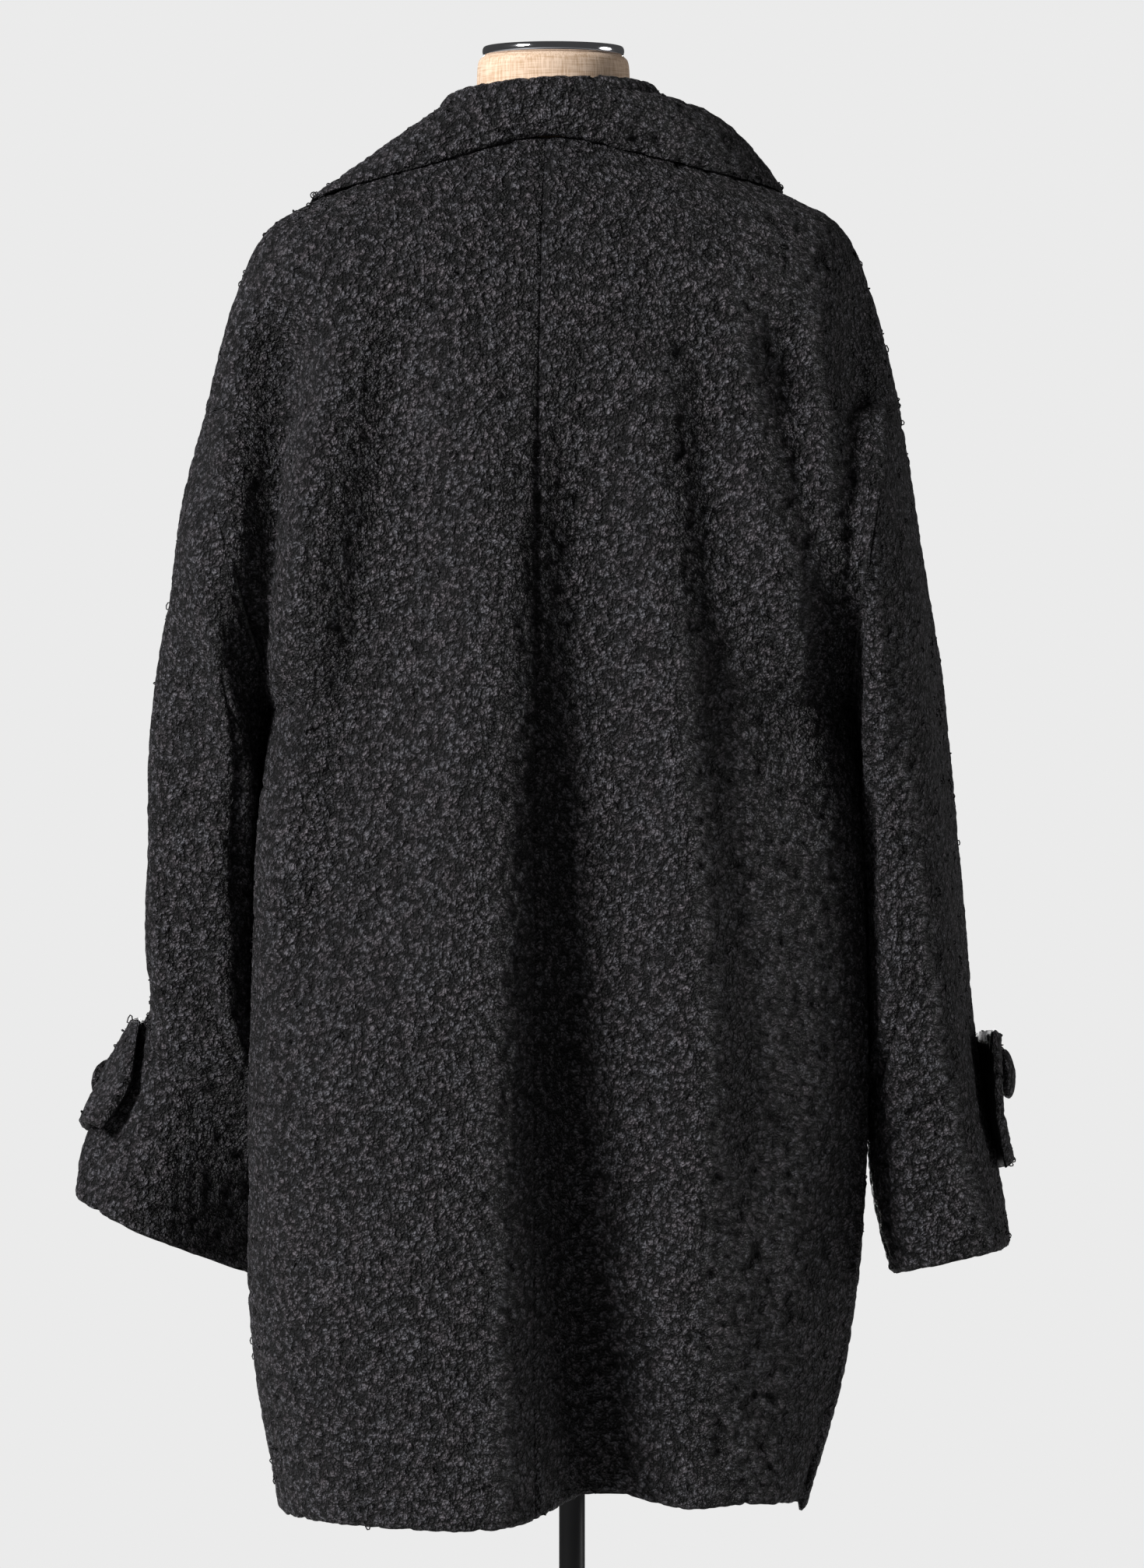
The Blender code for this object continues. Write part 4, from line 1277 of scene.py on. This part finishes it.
    def plain(self, face: Face, places: np.ndarray) -> np.ndarray:
        """Lofts the unfolded back or front, from its left edge to its right one.

        Args:
            face: back or front.
            places: ring places, one for each row.

        Returns:
            Its points, rows by columns by three.
        """
        name = face.name.lower()
        middle_z = column(self.sections, name + "_z", places)[:, None]
        middle_y = face.value * column(self.sections, name + "_y", places)[:, None]
        power = 2.0 / column(self.sections, name + "_n", places)[:, None]
        turn = np.linspace(0.0, np.pi / 2, self.samples + 1)[None, :]
        across = np.sin(turn) ** power
        inward = np.maximum(np.cos(turn), 0.0) ** power
        high = places < (self.sleeve_head + self.underarm) / 2
        local = np.where(high, 1.0, self.hole_local)[:, None]
        halves = []
        for hand in (Side.LEFT, Side.RIGHT):
            edge_x, edge_y, edge_z, full = self.edge(face, hand, places)
            x = hand.value * edge_x * across
            y = edge_y + (middle_y - edge_y) * inward + full * (1.0 - inward) ** local
            z = middle_z + (edge_z - middle_z) * across ** self.row_bend[face]
            halves.append(np.stack((x, y, z), axis=-1))
        return np.concatenate((halves[0][:, ::-1], halves[1][:, 1:]), axis=1)

    def trough(
        self, fold: Fold, x: np.ndarray, z: np.ndarray, spread: float = 1.0
    ) -> np.ndarray:
        """Gives the depth of one fold.

        Args:
            fold: the fold.
            x: the points' places across.
            z: the points' heights.
            spread: widens the fold.

        Returns:
            Depth at each point.
        """
        down = np.clip((fold.z_top - z) / (fold.z_top - fold.z_low), 0.0, 1.0)
        path = fold.x_top + (fold.x_low - fold.x_top) * down
        path = path + fold.bow * 4.0 * down * (1.0 - down)
        deep = fold.deep_top + (fold.deep_low - fold.deep_top) * down**fold.growth
        deep = deep * ease(down / self.fold_fade) * ease((1.0 - down) / self.fold_fade)
        wide = spread * (fold.wide_top + (fold.wide_low - fold.wide_top) * down)
        skew = 1.0 + (fold.skew - 1.0) * ease(2.0 * down)
        wide = np.where(x < path, wide * skew, wide)
        power = np.where(x < path, 1.0 + skew, 2.0)
        return deep * np.exp(-((np.abs(x - path) / wide) ** power))

    def face_grid(
        self, face: Face, places: np.ndarray, half_columns: int, creased: bool = True
    ) -> np.ndarray:
        """Lays out the whole back or front, folds and all.

        Args:
            face: back or front.
            places: ring places, one for each row.
            half_columns: columns across each half.
            creased: whether the finer creases are pressed in as well.

        Returns:
            Its outer points, from the left edge to the right one.
        """
        plain = self.plain(face, places)
        near = np.abs(np.linspace(-1.0, 1.0, 2 * self.samples + 1))[None, :]
        calm = ease((1.0 - near) / self.edge_calm)
        skin, total = plain.copy(), np.zeros(plain.shape[:2])
        late = ease((places - self.raise_from) / (self.hem - self.raise_from))[:, None]
        for fold in self.folds + (self.creases if creased else ()):
            if fold.face != face:
                continue
            deep = calm * self.trough(fold, plain[..., 0], plain[..., 2])
            total += deep
            skin[..., 0] += fold.lean * deep
            ahead = plain[..., 0] + (fold.skew - 1.0) * self.raise_ahead
            level = fold._replace(skew=1.0)
            lift = self.trough(level, ahead, plain[..., 2], self.raise_spread)
            skin[..., 2] += self.valley_raise * late * calm * lift
        seam_y = column(self.sections, "edge_y", places)[:, None]
        room = self.fold_room * np.maximum(face.value * (plain[..., 1] - seam_y), 1e-6)
        skin[..., 1] -= face.value * total / (1.0 + (np.abs(total) / room) ** 4) ** 0.25
        skin[..., 0] += COAT_X
        rows = []
        for line in skin:
            left = evenly(line[: self.samples + 1], half_columns)
            right = evenly(line[self.samples :], half_columns)
            rows.append(np.concatenate((left, right[1:])))
        return np.array(rows)

    def lift_lap(self, front: np.ndarray, out: np.ndarray) -> np.ndarray:
        """Moves the right front out where it laps over the left one.

        Args:
            front: the whole front's points.
            out: their normals.

        Returns:
            The moved points.
        """
        half = front.shape[1] // 2
        reach = front[:, half:, 0] - front[:, half : half + 1, 0]
        share = np.linspace(0.0, 1.0, front.shape[1] - half)[None, :]
        lift = self.lap_lift * ease((reach + self.lap_fade) / (self.lap_fade - self.lap_hold))
        lift = lift * ease(2.0 * (1.0 - share))
        lifted = front.copy()
        lifted[:, half:] += lift[..., None] * out[:, half:]
        return lifted

    def right_front(
        self, front: np.ndarray, out: np.ndarray, places: np.ndarray
    ) -> tuple[np.ndarray, np.ndarray]:
        """Adds the columns that lap over the left front.

        Args:
            front: the whole front's points.
            out: their normals.
            places: ring places of the rows.

        Returns:
            The right front's points and normals.
        """
        half = front.shape[1] // 2
        lifted = self.lift_lap(front, out)[:, half:]
        inner = front[:, half::-1]
        reach = inner[..., 0] - inner[:, :1, 0]
        fall = self.lap_fall * np.clip(1.0 - places / self.lap_level, 0.0, 1.0)
        extra = []
        for step in range(self.lap_columns, 0, -1):
            share = step / self.lap_columns
            at, z = self.lap * share, inner[:, 0, 2] - fall * share
            below = [
                [np.interp(at, reach[row], inner[row, :, axis]) for row in range(len(front))[::-1]]
                for axis in (2, 1)
            ]
            y = np.interp(z, *below) - self.lap_lift
            extra.append(np.stack((inner[:, 0, 0] + at, y, z), axis=-1))
        flat = np.repeat(out[:, half : half + 1], self.lap_columns, axis=1)
        skin = np.concatenate((np.stack(extra, axis=1), lifted), axis=1)
        return skin, np.concatenate((flat, out[:, half:]), axis=1)

    def build(self, wool: bpy.types.Material) -> None:
        """Builds the four panels and their loose loops.

        Args:
            wool: their finish.
        """
        places = self.places()
        back = self.face_grid(Face.BACK, places, self.back_columns)
        front = self.face_grid(Face.FRONT, places, self.front_columns)
        back_out, front_out = skin_normals(back), -skin_normals(front)
        mid_back, mid_front = self.back_columns, self.front_columns
        sides = (Edge.TOP, Edge.START, Edge.END)
        lapped, lapped_out = self.right_front(front, front_out, places)
        panels = {
            "back_left": (back[:, : mid_back + 1], back_out[:, : mid_back + 1], sides, (Edge.LOW,)),
            "back_right": (back[:, mid_back:], back_out[:, mid_back:], sides, (Edge.LOW,)),
            "front_left": (
                front[:, : mid_front + 1], front_out[:, : mid_front + 1],
                (Edge.TOP, Edge.START), (Edge.LOW, Edge.END),
            ),
            "front_right": (lapped, lapped_out, (Edge.TOP, Edge.END), (Edge.LOW, Edge.START)),
        }
        for turn, (name, (skin, out, sewn, free)) in enumerate(panels.items()):
            shell = ClothShell(name, skin, out, self.cloth, sewn, free, groove=self.groove)
            yarn = LooseYarn(self.loops, self.loop_seed + turn)
            hang_cloth(shell, yarn, *self.flats[name], ["form_body_linen"], wool)


@dataclass
class Collar:
    """The turned-down collar: up its stand, over the roll and down its fall."""

    coat: CoatBody
    cloth: float = 0.004
    ends: float = 0.2
    roll: float = 0.0075
    clear: float = 0.0005
    ease_down: float = 1.2
    reach: float = 3.0
    zone_rows: int = 61
    front_columns: int = 132
    back_columns: int = 73
    stand_rows: int = 12
    roll_rows: int = 12
    fall_rows: int = 64
    loops: int = 420
    loop_seed: int = 60
    flat: tuple[float, float] = (0.98, 0.17)
    area: float = 0.096
    line_at: float = 0.006
    stations: tuple[Station, ...] = table(
        Station,
        (0.00, 0.000, 0.50, 0.000, 0.00),
        (0.25, 0.003, 1.15, 0.002, 0.00),
        (0.60, 0.009, 1.85, 0.003, 0.30),
        (1.00, 0.014, 1.98, 0.002, 0.85),
        (1.25, 0.017, 1.42, 0.003, 1.00),
        (1.50, 0.021, 0.80, 0.005, 1.00),
        (2.00, 0.028, 0.06, 0.000, 1.00),
        (2.50, 0.026, 0.68, 0.010, 1.00),
        (3.00, 0.020, 1.72, 0.014, 0.85),
        (3.40, 0.011, 1.72, 0.004, 0.30),
        (3.75, 0.003, 1.15, 0.002, 0.00),
        (4.00, 0.000, 0.50, 0.000, 0.00),
    )

    def neck_zone(self) -> tuple[np.ndarray, np.ndarray, np.ndarray, np.ndarray]:
        """Lays out the part of the coat that the collar falls on, as one ring.

        Returns:
            Its points, its normals, each column's station and each row's place.
        """
        places = np.linspace(0.0, self.reach, self.zone_rows)
        front = self.coat.face_grid(Face.FRONT, places, self.front_columns, False)
        back = self.coat.face_grid(Face.BACK, places, self.back_columns, False)
        front_out, back_out = -skin_normals(front), skin_normals(back)
        front = self.coat.lift_lap(front, front_out)
        for edge in (0, -1):
            shared = unit(front_out[:, edge] + back_out[:, edge])
            front_out[:, edge] = back_out[:, edge] = shared
        half = self.front_columns
        rings = [
            np.concatenate((f[:, half::-1], b[:, 1:], f[:, -2 : half - 1 : -1]), axis=1)
            for f, b in ((front, back), (front_out, back_out))
        ]
        around = np.concatenate(
            (
                np.linspace(0.0, 1.0, half + 1),
                np.linspace(1.0, 3.0, 2 * self.back_columns + 1)[1:],
                np.linspace(3.0, 4.0, half + 1)[1:],
            )
        )
        keep = (around >= self.ends) & (around <= 4.0 - self.ends)
        return rings[0][:, keep], rings[1][:, keep], around[keep], places

    @staticmethod
    def read(zone: np.ndarray, places: np.ndarray, at: np.ndarray) -> np.ndarray:
        """Reads a grid at its own place in each column.

        Args:
            zone: the grid.
            places: the place of each of its rows.
            at: the place to read in each column.

        Returns:
            Columns by three.
        """
        found = [
            [np.interp(at[col, 0], places, zone[:, col, axis]) for axis in range(3)]
            for col in range(zone.shape[1])
        ]
        return np.array(found)

    def skin(self) -> np.ndarray:
        """Lays out the collar.

        Returns:
            Its outer points, rows from the seam to the edge of the fall.
        """
        zone, out, around, places = self.neck_zone()
        stand, edge, puff, upright = (
            column(self.stations, name, around)[:, None]
            for name in ("stand", "edge", "puff", "upright")
        )
        line = unit(np.gradient(zone[0], axis=0))
        on_from_seam = square_to(zone[0] - zone[2], line)
        straight_up = square_to(np.array((0.0, 0.0, 1.0)), line)
        rise = unit(on_from_seam * (1.0 - upright) + straight_up * upright)
        away = square_to(out[0], rise)
        seam = zone[0] - away * (self.cloth + SEAM) + rise * SEAM * 2
        rows = [seam + rise * stand * i / self.stand_rows for i in range(self.stand_rows + 1)]
        for i in range(1, self.roll_rows + 1):
            turn = np.pi * i / self.roll_rows
            over = rise * np.sin(turn) + away * (1.0 - np.cos(turn))
            rows.append(seam + rise * stand + self.roll * over)
        clear = self.clear + self.cloth
        rest = rows[-1] - (zone[0] + out[0] * clear)
        for i in range(1, self.fall_rows + 1):
            share = i / self.fall_rows
            under = self.read(zone, places, edge * share)
            up = self.read(out, places, edge * share)
            puffed = clear + puff * np.sin(np.pi * share)
            rows.append(under + up * puffed + rest * (1.0 - share) ** self.ease_down)
        return np.array(rows)

    def build(self, wool: bpy.types.Material) -> None:
        """Builds the collar and its loose loops.

        Args:
            wool: its finish.
        """
        skin = self.skin()
        out = skin_normals(skin)
        free = (Edge.LOW, Edge.START, Edge.END)
        shell = ClothShell(
            "collar", skin, out, self.cloth, (Edge.TOP,), free, line_at=self.line_at
        )
        yarn = LooseYarn(self.loops, self.loop_seed)
        under = [f"{face}_{side}_cloth" for face in ("back", "front") for side in ("left", "right")]
        hang_cloth(shell, yarn, self.flat, self.area, under, wool)


@dataclass
class CuffTabs:
    """A strap round the outer side of each sleeve, its pointed end standing off."""

    sleeves: Sleeves
    cloth: float = 0.007
    gap: float = 0.0012
    free_share: float = 0.25
    point: float = 12.0
    rows: int = 36
    columns: int = 64
    loops: int = 60
    loop_seed: int = 80
    flat: tuple[float, float] = (0.085, 0.145)
    area: float = 0.0121
    tabs: dict[str, Tab] = field(
        default_factory=lambda: {
            "left": Tab(Side.LEFT, 5.35, 6.75, 14.0, -112.0, 0.001, 0.011),
            "right": Tab(Side.RIGHT, 5.25, 6.85, 14.0, -112.0, 0.010, 0.004),
        }
    )

    def skin(self, tab: Tab) -> tuple[np.ndarray, np.ndarray]:
        """Lays out a tab over its sleeve.

        Args:
            tab: which tab.

        Returns:
            Its outer points and their normals.
        """
        rows = np.linspace(tab.top, tab.low, self.rows + 1)
        share = np.linspace(0.0, 1.0, self.columns + 1)
        slope = np.abs(np.linspace(-1.0, 1.0, self.rows + 1))
        ends = np.radians(tab.back_angle - self.point * slope)[:, None]
        angles = ends + (math.radians(tab.front_angle) - ends) * share[None, :]
        skin = self.sleeves.skin(tab.side, rows, angles)
        out = -tab.side.value * skin_normals(skin)
        off = np.linspace(tab.off_top, tab.off_low, self.rows + 1)[:, None]
        lift = self.gap + self.cloth + off * ease(1.0 - share / self.free_share)[None, :]
        return skin + out * lift[..., None], out

    def build(self, wool: bpy.types.Material) -> None:
        """Builds both tabs and their loose loops.

        Args:
            wool: their finish.
        """
        for turn, (name, tab) in enumerate(self.tabs.items()):
            shell = ClothShell("cuff_tab_" + name, *self.skin(tab), self.cloth, (), tuple(Edge))
            yarn = LooseYarn(self.loops, self.loop_seed + turn)
            hang_cloth(shell, yarn, self.flat, self.area, [f"sleeve_{name}_cloth"], wool)


@dataclass
class CoveredButtons:
    """Domed buttons covered in the coat's cloth, on the cuff tabs and the right front."""

    nodes: tuple[str, ...] = (
        "cuff_button_left", "cuff_button_right",
        "front_button_top", "front_button_middle", "front_button_low",
    )
    radius: float = 0.016
    dome: float = 0.009
    rim: float = 0.003
    slack: float = 0.0005  # how near to its lowest corner a solid counts as flat
    under: tuple[tuple[float, float], ...] = ((0.97, 0.0015), (0.9, 0.0002), (0.5, 0.0))
    start: tuple[float, float, float] = (0.3, 0.2, 0.9)  # no button's axis runs this way
    rings: int = 18
    steps: int = 56
    curl_high: float = 0.0016
    curls: CurlField = field(default_factory=lambda: CurlField(nub=0.006, curl=0.0036))

    def stance(self, node: str) -> tuple[np.ndarray, np.ndarray]:
        """Finds where a button sits from its solid.

        Args:
            node: the button's node.

        Returns:
            The middle of its flat side, and the way that its dome faces.
        """
        corners = np.array([v.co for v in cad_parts[node].data.vertices], float)
        middle = corners.mean(axis=0)
        axis = np.linalg.svd(corners - middle)[2][2]
        high = (corners - middle) @ axis
        above, below = high > high.max() - self.slack, high < high.min() + self.slack
        if above.sum() > below.sum():
            axis, below = -axis, above
        rim = corners[below]
        return rim.mean(axis=0), axis

    def build(self, wool: bpy.types.Material) -> None:
        """Builds the buttons.

        Args:
            wool: the cloth that covers them.
        """
        turn = np.linspace(0.0, np.pi / 2, self.rings)
        profile = [
            (self.radius * math.sin(t), self.rim + (self.dome - self.rim) * math.cos(t))
            for t in turn[1:]
        ]
        profile += [(self.radius * share, z) for share, z in self.under]
        reach, high = (np.array(values)[:, None] for values in zip(*profile))
        spin = np.linspace(0.0, 2 * np.pi, self.steps, endpoint=False)[None, :]
        for node in self.nodes:
            foot, axis = self.stance(node)
            first = square_to(np.array(self.start), axis)
            second = np.cross(axis, first)
            grid = foot + high[..., None] * axis + (reach * np.cos(spin))[..., None] * first
            grid = grid + (reach * np.sin(spin))[..., None] * second
            tips = foot + np.array([[self.dome], [0.0]]) * axis
            points = np.concatenate((grid.reshape(-1, 3), tips))
            away = points - (foot + self.rim * axis)
            curl = self.curls.height(points)
            upper = ease((points - foot) @ axis / self.rim)
            points = points + unit(away) * (self.curl_high * (curl - 0.5) * upper)[:, None]
            size = grid.shape[:2]
            faces = [grid_quads(*size, True), end_fans(*size)]
            # The curl value picks the wool's colour: painted shade in the pits, painted highlight
            # on the tops.
            values = {"curl": curl, "nap": np.ones(len(points))}
            settle(add_piece(node + "_cover", points, faces, wool, values), node)


def turned(
    name: str,
    profile: list[tuple[float, float]],
    steps: int,
    material: bpy.types.Material,
    x: float = 0.0,
) -> bpy.types.Object:
    """Turns a solid about an upright axis.

    Args:
        name: the piece's name.
        profile: (radius, height) pairs from top to bottom, without the two ends on the axis.
        steps: points round it.
        material: its finish.
        x: where its axis stands.

    Returns:
        The new piece.
    """
    spin = np.linspace(0.0, 2 * np.pi, steps, endpoint=False)
    rings = [
        np.stack((x + r * np.cos(spin), r * np.sin(spin), np.full(steps, z)), axis=1)
        for r, z in profile
    ]
    ends = np.array([(x, 0.0, profile[0][1]), (x, 0.0, profile[-1][1])])
    points = np.concatenate(rings + [ends])
    faces = [grid_quads(len(profile), steps, True), end_fans(len(profile), steps)]
    obj = add_piece(name, points, faces, material)
    obj.data.set_sharp_from_angle(angle=SHARP)
    return obj


@dataclass
class DressForm:
    """The limbless form: a linen-covered body and a chrome neck cap."""

    columns: int = 112
    rows: int = 150
    sharp: float = 60.0  # the cover shows an edge where it bends by more degrees
    cap_radius: float = 0.0455
    cap_low: float = 1.4940
    cap_top: float = 1.5000
    cap_round: float = 0.0016
    cap_turns: int = 13
    cap_steps: int = 112
    cap_face: tuple[tuple[float, float], ...] = (  # share of the radius, depth below the top
        (0.55, 0.0012), (0.80, 0.0012), (0.86, 0.0002), (0.90, 0.0),
    )
    rings: tuple[FormRing, ...] = table(
        FormRing,
        (1.4937, 0.0450, 0.045, 0.045, 2.0),
        (1.4900, 0.0480, 0.048, 0.048, 2.0),
        (1.4800, 0.0490, 0.049, 0.049, 2.0),
        (1.4550, 0.0495, 0.050, 0.049, 2.0),
        (1.4350, 0.0530, 0.053, 0.050, 2.0),
        (1.4200, 0.0720, 0.056, 0.050, 2.0),
        (1.4050, 0.1020, 0.061, 0.051, 2.0),
        (1.3850, 0.1340, 0.068, 0.054, 2.1),
        (1.3600, 0.1560, 0.076, 0.060, 2.2),
        (1.3200, 0.1660, 0.084, 0.072, 2.2),
        (1.2500, 0.1560, 0.090, 0.092, 2.2),
        (1.1700, 0.1440, 0.092, 0.104, 2.2),
        (1.0900, 0.1320, 0.086, 0.098, 2.2),
        (1.0000, 0.1200, 0.080, 0.086, 2.2),
        (0.9200, 0.1400, 0.083, 0.092, 2.2),
        (0.8500, 0.1560, 0.084, 0.098, 2.2),
        (0.8000, 0.1580, 0.084, 0.098, 2.2),
        (0.7900, 0.1520, 0.079, 0.092, 2.2),
    )

    def build(self, linen: bpy.types.Material, chrome: bpy.types.Material) -> None:
        """Builds the covered body and the neck cap.

        Args:
            linen: the body's finish.
            chrome: the cap's finish.
        """
        knots = np.arange(len(self.rings), dtype=float)
        at = np.linspace(0.0, knots[-1], self.rows + 1)
        z, half_x, back_y, front_y, square = (
            smooth(knots, [getattr(ring, name) for ring in self.rings], at)[:, None]
            for name in FormRing._fields
        )
        spin = np.linspace(0.0, 2 * np.pi, self.columns, endpoint=False)[None, :]
        cos, sin = np.cos(spin), np.sin(spin)
        x = half_x * np.sign(cos) * np.abs(cos) ** (2.0 / square) + COAT_X
        y = np.where(sin >= 0.0, back_y, front_y) * np.sign(sin) * np.abs(sin) ** (2.0 / square)
        grid = np.stack((x, y, np.broadcast_to(z, x.shape)), axis=-1)
        ends = np.array([(COAT_X, 0.0, self.rings[0].z), (COAT_X, 0.0, self.rings[-1].z)])
        points = np.concatenate((grid.reshape(-1, 3), ends))
        size = grid.shape[:2]
        faces = [grid_quads(*size, True), end_fans(*size)]
        body = add_piece("form_body_linen", points, faces, linen)
        body.data.set_sharp_from_angle(angle=math.radians(self.sharp))
        settle(body, "form_body")
        radius, low, top, bead = self.cap_radius, self.cap_low, self.cap_top, self.cap_round
        middle, half = (low + top) / 2, (top - low) / 2
        profile = [(radius * share, top - deep) for share, deep in self.cap_face]
        profile += [
            (radius - bead + bead * math.sin(t), middle + half * math.cos(t))
            for t in np.linspace(0.0, np.pi, self.cap_turns)
        ]
        cap = turned("neck_cap_chrome", profile, self.cap_steps, chrome, COAT_X)
        settle(cap, "neck_cap")


@dataclass
class Stand:
    """The pole and the round foot plate."""

    pole_radius: float = 0.0083
    pole_top: float = 0.7897
    pole_low: float = 0.0083
    pole_edge: float = 0.0006
    pole_rings: int = 14
    pole_steps: int = 48
    foot_radius: float = 0.170
    foot_thick: float = 0.008
    foot_round: float = 0.0022
    foot_turns: int = 6
    foot_edge: float = 0.0012
    foot_rings: tuple[float, ...] = (0.1, 0.3, 0.6, 0.9)
    foot_inner: float = 0.5
    foot_steps: int = 160

    def build(self, paint: bpy.types.Material) -> None:
        """Builds the pole and the foot.

        Args:
            paint: their finish.
        """
        radius, edge = self.pole_radius, self.pole_edge
        top, *between, low = np.linspace(self.pole_top, self.pole_low, self.pole_rings)
        profile = [(radius - edge, top)]
        profile += [(radius, z) for z in (top - edge, *between, low + edge)]
        profile += [(radius - edge, low)]
        pole = turned("stand_pole_tube", profile, self.pole_steps, paint)
        settle(pole, "stand_pole")
        reach, top, edge = self.foot_radius, self.foot_thick, self.foot_edge
        bend = self.foot_round
        profile = [(share * (reach - bend), top) for share in self.foot_rings]
        profile += [
            (reach - bend + bend * math.sin(t), top - bend + bend * math.cos(t))
            for t in np.linspace(0.0, math.pi / 2, self.foot_turns)
        ]
        profile += [(reach, edge), (reach - edge, 0.0), (reach * self.foot_inner, 0.0)]
        foot = turned("stand_foot_plate", profile, self.foot_steps, paint)
        settle(foot, "stand_foot")


@dataclass
class Studio:
    """The floor, the soft lights and the camera at the photograph's angle."""

    floor_radius: float = 5.0
    floor_steps: int = 128
    aim: tuple[float, float, float] = (0.0, 0.0, 1.0275)
    distance: float = 5.5
    yaw: float = 4.0
    lens: float = 197.0
    sensor: float = 36.0
    sky: str = "#ebebeb"
    fill: float = 0.08
    lights: tuple[tuple[str, tuple[float, float, float], float, float], ...] = (
        ("key_light", (2.80, 2.60, 2.80), 1.3, 240.0),
        ("right_light", (-3.20, -0.50, 1.20), 1.6, 24.0),
        ("front_light", (0.30, -3.80, 1.05), 1.2, 150.0),
    )

    def build(self, paper: bpy.types.Material) -> None:
        """Builds the floor, lights, world and camera.

        Args:
            paper: the floor's finish.
        """
        scene = bpy.context.scene
        spin = np.linspace(0.0, 2 * np.pi, self.floor_steps, endpoint=False)
        rim = np.stack((np.cos(spin), np.sin(spin), 0 * spin), axis=1) * self.floor_radius
        floor = add_piece("floor", rim, [np.arange(self.floor_steps)[None, :]], paper)
        for name, place, size, power in self.lights:
            lamp = bpy.data.lights.new(name, "AREA")
            lamp.shape, lamp.size, lamp.energy = "DISK", size, power
            obj = bpy.data.objects.new(name, lamp)
            obj.location = place
            aim = Vector(self.aim) - Vector(place)
            obj.rotation_mode = "QUATERNION"
            obj.rotation_quaternion = aim.to_track_quat("-Z", "Y")
            scene.collection.objects.link(obj)
        world = bpy.data.worlds.new("studio")
        scene.world = world
        world.use_nodes = True
        tree = world.node_tree
        tree.nodes.clear()
        seen = add_node(tree, "Background", {"Color": linear(self.sky), "Strength": 1.0})
        soft = add_node(tree, "Background", {"Color": linear(self.sky), "Strength": self.fill})
        ray = add_node(tree, "LightPath", {}, "Is Camera Ray")
        sky = add_node(tree, "MixShader", {0: ray, 1: soft, 2: seen})
        add_node(tree, "OutputWorld", {0: sky})
        lens = bpy.data.cameras.new("camera")
        lens.lens, lens.sensor_width, lens.sensor_height = self.lens, self.sensor, self.sensor
        camera = bpy.data.objects.new("camera", lens)
        turn = math.radians(self.yaw)
        back = Vector((-math.sin(turn), math.cos(turn), 0.0))
        camera.location = Vector(self.aim) + back * self.distance
        camera.rotation_mode = "QUATERNION"
        camera.rotation_quaternion = (-back).to_track_quat("-Z", "Y")
        scene.collection.objects.link(camera)
        scene.camera = camera
        scene.view_settings.view_transform = "Standard"


def main() -> None:
    """Builds the studio, the form, the stand and the coat, in that order."""
    logging.basicConfig(level=logging.INFO, format="%(name)s: %(message)s")
    wool = LoopedWool().material()
    Studio().build(StudioPaper().material())
    DressForm().build(LinenCover().material(), ChromePlate().material())
    Stand().build(PowderCoat().material())
    coat = CoatBody()
    coat.build(wool)
    coat.sleeves.build(wool)
    Collar(coat).build(wool)
    CuffTabs(coat.sleeves).build(wool)
    CoveredButtons().build(wool)


if __name__ == "__main__":
    main()
